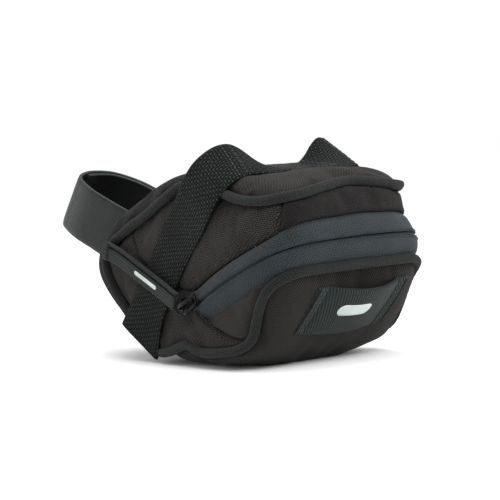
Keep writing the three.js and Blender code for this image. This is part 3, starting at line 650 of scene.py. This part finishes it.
def settle(grids):
    """Blender's cloth lets the padded panels swell between their seams, which are held."""
    scale = 10
    points = np.concatenate([g.reshape(-1, 3) for g in grids])
    faces, held, offset = [], [], 0
    for g in grids:
        rows, columns = g.shape[0] - 1, g.shape[1] - 1
        quads = grid_faces(rows, columns, offset)
        normal = grid_normals(g)
        faces.append(quads if (normal * (g - CORE)).sum() > 0 else quads[:, ::-1])
        rim = np.ones((rows + 1, columns + 1), bool)
        rim[2:-2, 2:-2] = False
        rim |= g[..., 2] < 0.3
        held.append(offset + np.flatnonzero(rim.ravel()))
        offset += (rows + 1) * (columns + 1)
    mesh = bpy.data.meshes.new("settling")
    mesh.from_pydata((points * MM * scale).tolist(), [], np.concatenate(faces).tolist())
    ob = bpy.data.objects.new("settling", mesh)
    bpy.context.scene.collection.objects.link(ob)
    ob.vertex_groups.new(name="held").add(np.concatenate(held).tolist(), 1.0, "REPLACE")
    cloth = ob.modifiers.new("cloth", "CLOTH")
    s = cloth.settings
    s.quality, s.mass, s.air_damping = 6, 0.3, 3
    s.tension_stiffness = s.compression_stiffness = 12
    s.shear_stiffness, s.bending_stiffness = 6, 6
    s.vertex_group_mass = "held"
    s.effector_weights.gravity = 0
    s.shrink_min = -0.013
    s.use_pressure = True
    s.uniform_pressure_force = SWELL
    cloth.collision_settings.use_collision = False
    cloth.point_cache.frame_start, cloth.point_cache.frame_end = 1, SWELL_FRAMES
    scene = bpy.context.scene
    for f in range(1, SWELL_FRAMES + 1):
        scene.frame_set(f)
    done = ob.evaluated_get(bpy.context.evaluated_depsgraph_get()).to_mesh()
    moved = np.empty(len(points) * 3)
    done.vertices.foreach_get("co", moved)
    moved = moved.reshape(-1, 3) / (MM * scale) - points
    scene.frame_set(1)
    bpy.data.objects.remove(ob)
    bpy.data.meshes.remove(mesh)
    length = np.linalg.norm(moved, axis=-1, keepdims=True)
    moved *= SWELL_CAP * np.tanh(length / SWELL_CAP) / np.maximum(length, 1e-6)
    settled, offset = [], 0
    for g in grids:
        n = g.shape[0] * g.shape[1]
        settled.append(g + moved[offset:offset + n].reshape(g.shape))
        offset += n
    return settled


REST_GAP = 0.05  # cloth stays this far above the plane the bag stands on
# Where cloth would turn from lying still to swinging with the rear panel as the mouth opens; nothing in the
# script uses these points.
MOUTH_STILL, MOUTH_SWUNG = shift(arr(0, 20, -9.1)), shift(arr(0, 1.8, -0.8))
PANEL_LOOKS = {
    "top_panel": (SHELL, "upper_fabric"), "front_panel": (SHADED_SHELL, "upper_fabric"),
    "base_panel": (BASE_SHELL, "lower_fabric"), "rear_upper_panel": (SHADED_SHELL, "upper_fabric"),
    "side_panel": (SHELL, "upper_fabric"), "lower_side_panel": (SHELL, "upper_fabric"),
    "gusset": (GUSSET_CLOTH, "gusset_fabric"),
}


def on_mouth(ob):
    """Bakes the cloth's placement into its mesh; MOUTH_STILL and MOUTH_SWUNG are not used, and nothing bends
    with the rear panel.
    """
    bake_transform(ob)
    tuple(MOUTH_STILL)
    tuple(MOUTH_SWUNG)


def carried(ob, bends):
    if bends:
        on_mouth(ob)
    else:
        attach(ob, "bag")


def place_panel(name, points, uv, replaced, look, slot, bends):
    ob = sheet_mesh(name, points, FABRIC, uv, look, inside=LINING)
    carried(ob, bends)
    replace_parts(ob, *replaced)


def panels():
    specs = list(panel_surfaces())
    grids = settle([panel_grid(name, surface, edges) for name, surface, edges, _ in specs])
    for (name, _, _, plane), points in zip(specs, grids):
        look, slot = PANEL_LOOKS[name]
        points[..., 2] = np.maximum(points[..., 2], REST_GAP)
        uv = weave_uv(points, plane)
        if name == "base_panel":
            place_panel("shell_base", points, uv, ("rear_panel", "bottom_panel"), look, slot, True)
        elif plane != "side":
            place_panel("shell_" + name, points, uv, (name,), look, slot, False)
        else:
            bends = name == "gusset"
            place_panel("shell_left_" + name, points, uv, ("left_" + name,), look, slot, bends)
            place_panel("shell_right_" + name, mirror(points), uv, ("right_" + name,), look, slot, bends)


panels()


# ---------------------------------------------------------------- piping
PIPING_R, PIPING_PROUD = 2.25, 0.9


def bead_route(points, start=0.0, end=None, step=0.9):
    """Evenly spaced points of a seam line, and how far along it each one is."""
    end = len(points) - 1 if end is None else end
    line = spline(points, np.linspace(start, end, 600))
    length = along(on_body(line)[None], 1)[0]
    count = int(length[-1] / step)
    even = np.linspace(0, length[-1], count)
    return np.stack([np.interp(even, length, line[:, k]) for k in range(3)], axis=1), even


def whole_line(half):
    return np.vstack([half[:0:-1], mirror(half)])


def piping(name, points, replaced, start=0.0, end=None, bends=False, ends=1.6):
    route, length = bead_route(points, start, end)
    centre = on_body(route, PIPING_PROUD + 0.12 * smooth_noise(route, 17, 5))
    swell = 1 + 0.035 * smooth_noise(route, 9, 6) + 0.02 * np.sin(length * 1.9)
    tip = np.minimum(length, length[-1] - length)
    swell *= np.clip(0.35 + 0.65 * np.sqrt(np.clip(tip / ends, 0, 1)), 0, 1)
    ob = tube(name, centre, PIPING_R * swell, body_normal(route), PIPING_CLOTH, 18)
    carried(ob, bends)
    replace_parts(ob, *replaced)


def pipings():
    piping("piping_top", whole_line(TOP_EDGE), ("top_piping",))
    whole = whole_line(LOWER_EDGE)
    piping("piping_lower", whole, ("lower_piping_rear", "left_lower_piping", "right_lower_piping"),
           bends=True)


pipings()

# ---------------------------------------------------------------- zip
BAND_BULGE = 2.4
BAND_STEP = 1.0


def zip_band():
    ends = (ZIP_LOWER[-1], ZIP_UPPER[ZIP_END])
    return patch(across_middle(stretch(ZIP_LOWER)), across_middle(stretch(ZIP_UPPER, 0, ZIP_END)),
                 straight(*ends), straight(*map(mirror, ends)))


BAND = zip_band()


def band_points(share, span=(0.0, 1.0), proud=0.0):
    """Points along the zip at one height, from the left end round the rear."""
    u = np.linspace(*span, 1500)
    line = BAND(u, np.full_like(u, share))
    length = along(on_body(line)[None], 1)[0]
    even = np.linspace(0, length[-1], int(length[-1] / BAND_STEP))
    u = np.interp(even, length, u)
    return on_body(BAND(u, np.full_like(u, share)), proud), even


def tape_half(low, high, fold_at_low):
    """Half of the band: its free edge folds in over the coil, the other is sewn down."""
    rows, columns = 16, 230
    u, v = grid_uv(rows, columns, 0.0)
    share = low + (high - low) * v
    flat = on_body(BAND(u, share))
    distance = edge_distances(flat)
    free, sewn = distance["bottom"], distance["top"]
    if not fold_at_low:
        free, sewn = sewn, free
    ends = np.minimum(distance["start"], distance["end"])
    bulge = BAND_BULGE * np.sin(math.pi * np.clip(share, 0, 1)) ** 0.7 * (1 - 0.55 * np.exp(-ends / 9))
    lift = bulge - 1.7 * np.exp(-(free / 0.55) ** 2) - 1.5 * np.exp(-(sewn / 1.3) ** 2)
    lift += 0.28 * smooth_noise(flat, 16, 8) * (1 - np.exp(-free / 2))
    lift += 0.25 * np.exp(-((free - 1.3) / 0.8) ** 2)
    points = flat + body_normal(flat) * lift[..., None]
    uv = np.stack([distance["bottom"], distance["start"]], axis=-1)
    return points, uv


def zipper():
    upper, uv = tape_half(0.507, 1.0, True)
    ob = sheet_mesh("zip_tape_upper", upper, 0.9, uv, TAPE_CLOTH)
    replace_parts(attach(ob, "bag"), "zipper_tape_upper")
    lower, uv = tape_half(-0.14, 0.493, False)
    ob = sheet_mesh("zip_tape_lower", lower, 0.9, uv, TAPE_CLOTH)
    on_mouth(ob)
    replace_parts(ob, "zipper_tape_lower")
    for name, share, node in (("upper", 0.535, "zipper_coil_upper"), ("lower", 0.465, "zipper_coil_lower")):
        zip_coil(name, share, node)
        tape_stitches(name, 1 if name == "upper" else -1)


def zip_coil(name, share, node):
    """The nylon spiral behind each tape's edge, as a ribbed bead."""
    route, length = band_points(share, (0.015, 0.985), 0.55)
    fine = np.linspace(0, length[-1], int(length[-1] / 0.3))
    route = np.stack([np.interp(fine, length, route[:, k]) for k in range(3)], axis=1)
    swell = 1 + 0.16 * np.sin(fine * 2 * math.pi / 1.3)
    ob = tube("zip_coil_" + name, route, 0.8 * swell, body_normal(route), COIL, 8)
    carried(ob, name == "lower")
    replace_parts(ob, node)


def tape_stitches(name, side):
    """Rows of small slanting stitches that hold the coil to its tape."""
    centres, directions, normals = [], [], []
    for row, slant in ((0.9, 0.5), (1.75, -0.5)):
        route, length = band_points(0.5, (0.02, 0.98), 0.0)
        tangent = unit(np.gradient(route, axis=0))
        normal = body_normal(route)
        up = np.cross(normal, tangent)
        up *= np.sign(up[:, 2:3]) * side
        ends = np.minimum(length, length[-1] - length)
        bulge = BAND_BULGE * (1 - 0.55 * np.exp(-ends / 9)) + 0.05
        bulge = bulge - 1.7 * math.exp(-((row - 0.1) / 0.55) ** 2)
        bulge = bulge + 0.25 * math.exp(-((row - 1.3) / 0.8) ** 2)
        waves = 0.28 * smooth_noise(route, 16, 8) * (1 - math.exp(-row / 2))
        centres.append(route + up * row + normal * (bulge + waves)[:, None])
        directions.append(unit(tangent + up * slant))
        normals.append(normal)
    centres, directions, normals = (np.concatenate(x) for x in (centres, directions, normals))
    ob = blobs("zip_stitches_" + name, centres, directions, normals, (0.8, 0.5, 0.4), ZIP_THREAD)
    carried(ob, name == "lower")


zipper()

# ---------------------------------------------------------------- slider and pull
SLIDER_AT, SLIDER_REAR = arr(-42, 70, 30.5), arr(-43, 56, 36.5)
PULL_ROUTE = arr((-41.5, 76.5, 32), (-39, 90, 36.5), (-36, 108, 43), (-34, 124, 48.5), (-32, 138, 52))
PULL_PROUD = arr(6.6, 4.6, 4.2, 4.2, 4.8)


def slider_frame():
    origin = on_body(SLIDER_AT, BAND_BULGE + 1.2)
    out = body_normal(on_body(SLIDER_AT))
    forward = origin - on_body(SLIDER_REAR, BAND_BULGE + 1.2)
    forward = unit(forward - out * (forward @ out))
    return origin, forward, np.cross(out, forward), out


def in_slider(points):
    origin, forward, side, out = slider_frame()
    return origin + np.asarray(points, float) @ np.stack([forward, side, out])


def solid_outline(name, outline, low, high, material, bevel):
    """A plate in the slider's frame: an outline in its plane, between two heights."""
    n = len(outline)
    flat = np.asarray(outline, float)
    points = in_slider(np.vstack([np.column_stack([flat, np.full(n, h)]) for h in (low, high)]))
    faces = [list(range(n))[::-1], list(range(n, 2 * n))]
    faces += [[i, (i + 1) % n, n + (i + 1) % n, n + i] for i in range(n)]
    ob = add_mesh(name, points, faces, np.zeros((2 * n, 2)), material)
    weld(ob)
    rounded = ob.modifiers.new("rounded", "BEVEL")
    rounded.width, rounded.segments, rounded.limit_method = bevel * MM, 3, "ANGLE"
    rounded.harden_normals = False
    return ob


def arc_points(cx, cy, r, a0, a1, n):
    a = np.radians(np.linspace(a0, a1, n))
    return np.column_stack([cx + r * np.cos(a), cy + r * np.sin(a)])


def slider():
    plate = np.vstack([arr((-5.6, -2.9), (-1.5, -3.3)), arc_points(2.8, 0, 4.3, -72, 72, 14),
                       arr((-1.5, 3.3), (-5.6, 2.9))])
    top = solid_outline("slider_plate", plate, 0.1, 1.5, SLIDER_GLOSS, 0.5)
    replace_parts(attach(top, "slider"), "zip_slider")
    wall = np.vstack([arr((-5.0, -0.9)), arr((-5.0, 0.9)), arc_points(3.4, 0, 0.9, 90, -90, 6)])
    post = solid_outline("slider_post", wall, 1.2, 2.2, SLIDER_GLOSS, 0.3)
    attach(post, "slider")
    t = np.linspace(0, 1, 40)
    bridge = spline(arr((-4.4, 0, 0.8), (-4.5, 0, 2.6), (-3.4, 0, 4.1), (0, 0, 4.6), (3.6, 0, 4.2),
                        (4.9, 0, 2.8), (4.8, 0, 0.8)), t * 6)
    route = in_slider(bridge)
    up = np.broadcast_to(slider_frame()[2], route.shape)
    wire = tube("slider_bridge_wire", route, 0.75, up, SLIDER_GLOSS, 12, 1.3)
    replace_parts(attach(wire, "slider"), "slider_bridge")
    ring = spline(arr((5.0, -2.6, 3.1), (6.4, -3.2, 3.4), (7.4, -1.2, 3.4), (7.2, 1.6, 3.4),
                      (5.4, 2.8, 3.1), (3.4, 2.4, 2.9), (2.7, 0, 2.9), (3.2, -2.2, 2.9), (5.0, -2.6, 3.1)),
                  t * 8)
    route = in_slider(ring)
    up = np.broadcast_to(slider_frame()[3], route.shape)
    loop = tube("slider_ring", route, 0.45, up, SLIDER_GLOSS, 10)
    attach(loop, "slider")


def strap_frame(centre, normals):
    tangent = unit(np.gradient(centre, axis=0))
    side = unit(np.cross(normals, tangent))
    return side, unit(np.cross(tangent, side))


def pull_strip(name, centre, side, out, low, high, lift, length, thickness, material):
    across = np.linspace(low, high, 7)
    edge = (np.abs(2 * (across - low) / (high - low) - 1) ** 6) * 0.3
    points = centre[:, None] + side[:, None] * across[None, :, None] \
        + out[:, None] * (lift - edge)[None, :, None]
    ob = sheet_mesh(name, points, thickness, np.stack(np.meshgrid(across, length), axis=-1), material)
    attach(ob, "pull")
    return ob


def pull_tab():
    """Webbing folded along its length: a wide face and a selvedge, with a dark slot between."""
    t = np.linspace(0, len(PULL_ROUTE) - 1, 70)
    centre = spline(on_body(PULL_ROUTE, PULL_PROUD), t)
    side, out = strap_frame(centre, body_normal(centre))
    if side[30, 2] < 0:
        side, out = -side, out * np.sign((out * body_normal(centre)).sum(-1, keepdims=True))
    length = along(centre[None], 1)[0]
    face = pull_strip("zip_pull_face", centre, side, out, -4.1, 1.9, 2.2, length, 1.0, PULL_WEBBING)
    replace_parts(face, "zip_pull_tab")
    pull_strip("zip_pull_selvedge", centre, side, out, 2.9, 4.1, 2.1, length, 1.9, PULL_WEBBING)
    pull_strip("zip_pull_back", centre, side, out, -3.9, 3.9, 0.9, length, 0.9, PULL_WEBBING)
    cut = [k for k in range(len(length)) if length[k] > length[-1] - 4.5]
    pull_strip("zip_pull_end", *(a[cut] for a in (centre, side, out)), -4.2, 4.2, 2.9, length[cut], 2.9,
               PULL_WEBBING)
    bar = np.linspace(18.5, 39.5, 25)
    mid, up, beside = (np.stack([np.interp(bar, length, a[:, k]) for k in range(3)], axis=1)
                       for a in (centre, out, side))
    rounding = np.sqrt(np.clip(np.minimum(bar - bar[0], bar[-1] - bar) / 0.9, 0.15, 1))
    across = np.linspace(-1.5, 0.4, 5)
    points = mid[:, None] + beside[:, None] * ((across[None] + 0.55) * rounding[:, None] - 0.55)[..., None] \
        + up[:, None] * 2.34
    ob = sheet_mesh("zip_pull_print", points, 0.2, np.stack(np.meshgrid(across, bar), axis=-1), SILVER_PRINT)
    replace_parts(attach(ob, "pull"), "zip_pull_reflector")


slider()
pull_tab()

# ---------------------------------------------------------------- rail strap
WEBBING = 25.0
WEBBING_T = 1.7
# Left half, from the middle over the rail and down the side: place, lean and turn in degrees.
RAIL_AT = arr((0, 43, 86.2), (-8, 43, 86.2), (-14, 43, 86.7), (-19.5, 43.7, 88.2),
              (-24.5, 45.5, 90.4), (-30, 48, 91.7),
              (-36, 51, 90), (-41.7, 55, 84.6), (-43.8, 60.5, 76.8), (-42.8, 67.5, 68.8), (-41, 76, 61),
              (-40.1, 85.5, 51), (-39.5, 94.5, 40), (-39.3, 103.5, 28), (-38.4, 110.8, 17.8),
              (-36.8, 117.2, 10))
RAIL_LEAN = arr(3, 4, 6, 16, 27, 35, 38, 38, 39, 39, 38, 37.5, 37, 37, 41, 44)
RAIL_YAW = arr(0, 2, 4, 8, 11, 12, 10, 5, 3, 5, 6, 7, 7, 7, -4, -14)
STRAP_FOLD = 13


def rail_surface(t, across):
    """The left strap's middle line, and its inner face: across is in millimetres from the line."""
    centre = spline(RAIL_AT, t)
    lean, yaw = (np.radians(spline(a[:, None], t)[:, 0]) for a in (RAIL_LEAN, RAIL_YAW))
    width = unit(np.stack([np.sin(yaw), np.cos(lean), np.sin(lean)], axis=-1))
    return centre, centre[:, None] + width[:, None] * across[None, :, None]


def even_steps(points, count, dense=800):
    """Route positions that are evenly spaced along a curve through the points."""
    t = np.linspace(0, len(points) - 1, dense)
    length = along(spline(points, t)[None], 1)[0]
    return np.interp(np.linspace(0, length[-1], count), length, t), length[-1]


def rail_straps():
    t, total = even_steps(RAIL_AT, 170)
    length = np.linspace(0, total, 170)
    across = np.linspace(-WEBBING / 2, WEBBING / 2, 22)
    centre, inner = rail_surface(t, across)
    normal = grid_normals(inner)
    if normal[100, 10, 0] > 0:
        normal = -normal
    edge = np.abs(across / across.max()) ** 14
    wave = 0.25 * smooth_noise(inner, 22, 11)
    outer = inner + normal * (WEBBING_T * (1 - 0.3 * edge)[None, :, None] + wave[..., None] + 0.1)
    uv = np.stack(np.meshgrid(across, length), axis=-1)
    tangent = unit(centre[np.searchsorted(t, STRAP_FOLD) + 3] - centre[np.searchsorted(t, STRAP_FOLD) - 3])
    fold = spline(RAIL_AT, np.array([float(STRAP_FOLD)]))[0]
    away = centre.mean(0) + arr(30, 0, -10)
    for side, flip in (("left", lambda p: p), ("right", mirror)):
        ob = sheet_mesh(side + "_rail_webbing", flip(outer), WEBBING_T, uv, WEBBING_CLOTH, inside=RAIL_UNDERSIDE_SHADE,
                        away=flip(away))
        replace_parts(ob, side + "_rail_strap", side + "_rail_strap_end",
                    *(("rail_strap_middle",) if side == "left" else ()))
        step = flip(tangent) * 3
        shift(flip(fold) - step)
        shift(flip(fold) + step)
        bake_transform(ob)
    strap_stitches(outer, normal, length, across)


def strap_stitches(outer, normal, length, across):
    """Two rows across the webbing where it is doubled over the rail, and a box on the top panel."""
    centres, directions, normals = [], [], []

    def row(a, b, pitch=1.9):
        """Stitches between two (length, across) points."""
        steps = max(2, int(math.hypot(b[0] - a[0], b[1] - a[1]) / pitch))
        for k in range(steps):
            s, w = (a[i] + (b[i] - a[i]) * (k + 0.5) / steps for i in (0, 1))
            r = int(np.clip(np.searchsorted(length, s), 1, len(length) - 2))
            c = int(np.clip(np.searchsorted(across, w), 1, len(across) - 2))
            centres.append(outer[r, c])
            d = (b[0] - a[0]) * (outer[r + 1, c] - outer[r - 1, c]) / (length[r + 1] - length[r - 1]) \
                + (b[1] - a[1]) * (outer[r, c + 1] - outer[r, c - 1]) / (across[c + 1] - across[c - 1])
            directions.append(unit(d))
            normals.append(normal[r, c])
    for s in (31.5, 34.5):
        row((s, -11.2), (s, 11.2))
    row((1, -10.8), (14, -10.8))
    row((1, 10.8), (14, 10.8))
    row((14, -10.8), (14, 10.8))
    for side, flip in (("left", lambda p: p), ("right", mirror)):
        ob = blobs(side + "_rail_stitches", flip(np.array(centres)), flip(np.array(directions)),
                   flip(np.array(normals)), (1.5, 0.45, 0.4), THREAD)
        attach(ob, "bag")


rail_straps()

# ---------------------------------------------------------------- seatpost strap
POST_TOP = arr((-15, 145, 68.5), (-16, 158.5, 74), (-15.6, 176, 81), (-10.2, 190, 86), (0, 194.5, 87))
POST_BOTTOM = arr((-15, 168.5, 47), (-16, 178.5, 51.8), (-15.6, 193, 57.6), (-10.2, 206.5, 62.4),
                  (0, 211.5, 64.2))
POST_T = 1.5


def post_grid(start, end, offset, rows=90, columns=14):
    """Part of the seatpost loop, from the left root at 0 round the front to the right root at 8."""
    lines = [np.vstack([half, mirror(half[-2::-1])]) for half in (POST_BOTTOM, POST_TOP)]
    t = np.linspace(start, end, rows)
    low, high = (spline(line, t) for line in lines)
    share = np.linspace(0, 1, columns)[None, :, None]
    points = low[:, None] * (1 - share) + high[:, None] * share
    normal = grid_normals(points)
    if normal[rows // 2, columns // 2] @ (points[rows // 2, columns // 2] - arr(0, 165, 62)) < 0:
        normal = -normal
    edge = np.abs(2 * share - 1) ** 12
    length = along(points, 0)[:, columns // 2]
    uv = np.stack(np.meshgrid(np.linspace(0, WEBBING + 1, columns), length), axis=-1)
    reach = offset(t)[:, None, None] if callable(offset) else offset
    return points + normal * (reach + POST_T - 0.35 * edge), uv


def seatpost_strap():
    """The left end goes round the front and lies over the right end, where it is pressed shut."""
    outer_gap = lambda t: 2.6 * np.clip((t - 2.6) / 1.4, 0, 1)
    over, uv = post_grid(-0.35, 6.9, outer_gap, 130)
    ob = sheet_mesh("seatpost_strap_over", over, POST_T, uv, POST_WEBBING, inside=POST_INNER_SHADE,
                    away=arr(0, 165, 62))
    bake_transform(ob)
    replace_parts(ob, "seatpost_strap_flap", "seatpost_strap")
    under, uv = post_grid(3.75, 8.35, 0.0, 90)
    ob = sheet_mesh("seatpost_strap_under", under, POST_T, uv, POST_WEBBING, inside=POST_INNER_SHADE,
                    away=arr(0, 165, 62))
    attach(ob, "bag")


seatpost_strap()

# ---------------------------------------------------------------- light loop
LOOP_TOP, LOOP_BOTTOM = arr(10.5, 36.5), arr(24, 16)
LOOP_X, LOOP_SEWN, LOOP_BOW, LOOP_T, LOOP_SKEW = 27.5, 6.0, 6.4, 1.6, 6.0


def loop_points(x, share, lift):
    """Points of the light loop: x across the bag, share up its width, lift above its outer face."""
    y = LOOP_BOTTOM[0] + (LOOP_TOP[0] - LOOP_BOTTOM[0]) * share
    z = LOOP_BOTTOM[1] + (LOOP_TOP[1] - LOOP_BOTTOM[1]) * share
    flat = on_body(np.stack(np.broadcast_arrays(x + LOOP_SKEW * (share - 0.14), y, z), axis=-1))
    span = np.clip(np.abs(x) / (LOOP_X - LOOP_SEWN), 0, 1)
    bow = LOOP_BOW * (1 - span ** 2) * (0.4 + 0.65 * share)
    return flat + body_normal(flat) * (0.75 + bow + LOOP_T + lift)[..., None], flat


def light_loop():
    x = np.linspace(-LOOP_X, LOOP_X, 90)
    share = np.linspace(0, 1, 16)
    xx, ss = np.meshgrid(x, share)
    edge = np.abs(2 * ss - 1) ** 12
    lift = -0.35 * edge - 0.5 * np.exp(-((LOOP_X - np.abs(xx)) / 0.8) ** 2)
    lift -= 0.3 * np.exp(-((np.abs(xx) - LOOP_X + LOOP_SEWN) / 0.9) ** 2)
    points, _ = loop_points(xx, ss, lift)
    uv = np.stack([xx, ss * 24.5], axis=-1)
    ob = sheet_mesh("light_loop_webbing", points, LOOP_T, uv, LOOP_WEBBING)
    on_mouth(ob)
    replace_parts(ob, "light_loop")
    rows, tacks = ((24.9, 1.9), (22.6, 1.9)), ((26.2, 0.62),)
    for side in (-1, 1):
        name = "left" if side < 0 else "right"
        stitches(name + "_light_loop_stitches", side, rows, (1.5, 0.45, 0.4), None)
        stitches(name + "_light_loop_tack", side, tacks, (1.9, 0.55, 0.5), name + "_light_loop_bar_tack")
    reflector()


def stitches(name, side, rows, size, node):
    """Rows across the loop's sewn end; a bar tack is a row of stitches laid side by side."""
    centres, directions = [], []
    for x, pitch in rows:
        share = np.linspace(0.05, 0.95, int(24 / pitch))
        points, flat = loop_points(np.full_like(share, side * x), share, np.full_like(share, 0.05))
        centres.append(points)
        run = unit(np.gradient(points, axis=0))
        if node:
            run = unit(run * 0.25 + arr(1, 0, 0))
        directions.append(run)
    centres, directions = np.concatenate(centres), np.concatenate(directions)
    ob = blobs(name, centres, directions, body_normal(centres), size, DARK_THREAD if node else THREAD)
    on_mouth(ob)
    if node:
        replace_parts(ob, node)


def reflector():
    """A plain rounded bar of reflective print."""
    x = np.linspace(-9, 9, 37)
    ends = np.sqrt(np.clip(1 - (np.clip(np.abs(x) - 6.2, 0, None) / 2.8) ** 2, 0.01, 1))
    share = 0.58 + np.linspace(-0.115, 0.115, 9)[:, None] * ends[None]
    xx = np.broadcast_to(x - 3.5, share.shape)
    points, _ = loop_points(xx, share, np.full(share.shape, 0.16))
    ob = sheet_mesh("light_loop_print", points, 0.25, np.stack([xx, share * 24.5], axis=-1), SILVER_PRINT)
    on_mouth(ob)
    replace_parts(ob, "light_loop_reflector")


light_loop()

# ---------------------------------------------------------------- stiffeners and stops
def inner_parts():
    rear = cross_panel(LOWER_EDGE, LOWER_CORNER, GUSSET_FOOT,
                       across_middle(stretch(LOWER_EDGE, 0, LOWER_CORNER)),
                       stretch(np.vstack([LOWER_EDGE[GUSSET_FOOT], (-24, 37, 2), (0, 40, 0), (24, 37, 2),
                                          mirror(LOWER_EDGE[GUSSET_FOOT])])))
    u, v = np.meshgrid(np.linspace(0.2, 0.75, 20), np.linspace(0.1, 0.9, 40))
    board = on_body(rear(u, v), -FABRIC - 1.6)
    ob = sheet_mesh("stiffener_rear", board, 1.4, np.stack([u, v], axis=-1), BOARD_PLASTIC)
    on_mouth(ob)
    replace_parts(ob, "rear_stiffener")
    for name, material in (("top_stiffener", BOARD_PLASTIC), ("bottom_stiffener", BOARD_PLASTIC),
                           ("left_zip_stop", SLIDER_GLOSS), ("right_zip_stop", SLIDER_GLOSS)):
        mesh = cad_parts[name].data
        mesh.materials.clear()
        mesh.materials.append(material)


inner_parts()

# ---------------------------------------------------------------- studio
def studio():
    bpy.context.scene.view_settings.view_transform = "Standard"
    world = bpy.data.worlds.new("studio")
    bpy.context.scene.world = world
    world.use_nodes = True
    world.node_tree.nodes["Background"].inputs["Color"].default_value = (1, 1, 1, 1)
    world.node_tree.nodes["Background"].inputs["Strength"].default_value = 1.06
    floor = bpy.data.meshes.new("floor")
    half, height = 6, -0.0002
    corners = [(x * half, y * half, height) for x, y in ((-1, -1), (1, -1), (1, 1), (-1, 1))]
    floor.from_pydata(corners, [], [(0, 1, 2, 3)])
    paper = Nodes("paper")
    floor.materials.append(paper.finish((0.96, 0.96, 0.96), 0.9, 0.0))
    ob = bpy.data.objects.new("floor", floor)
    bpy.context.scene.collection.objects.link(ob)
    lights = [("key", (-0.35, -0.75, 0.75), 0.5, 5.0), ("right", (0.75, -0.55, 0.45), 0.5, 4.0),
              ("top", (0.1, 0.2, 0.95), 0.7, 4.0)]
    for name, place, size, power in lights:
        data = bpy.data.lights.new(name, "AREA")
        data.shape, data.size, data.energy = "SQUARE", size, power
        lamp = bpy.data.objects.new(name, data)
        lamp.location = place
        lamp.rotation_euler = (Vector((0, 0, 0.04)) - Vector(place)).to_track_quat("-Z", "Y").to_euler()
        bpy.context.scene.collection.objects.link(lamp)


studio()
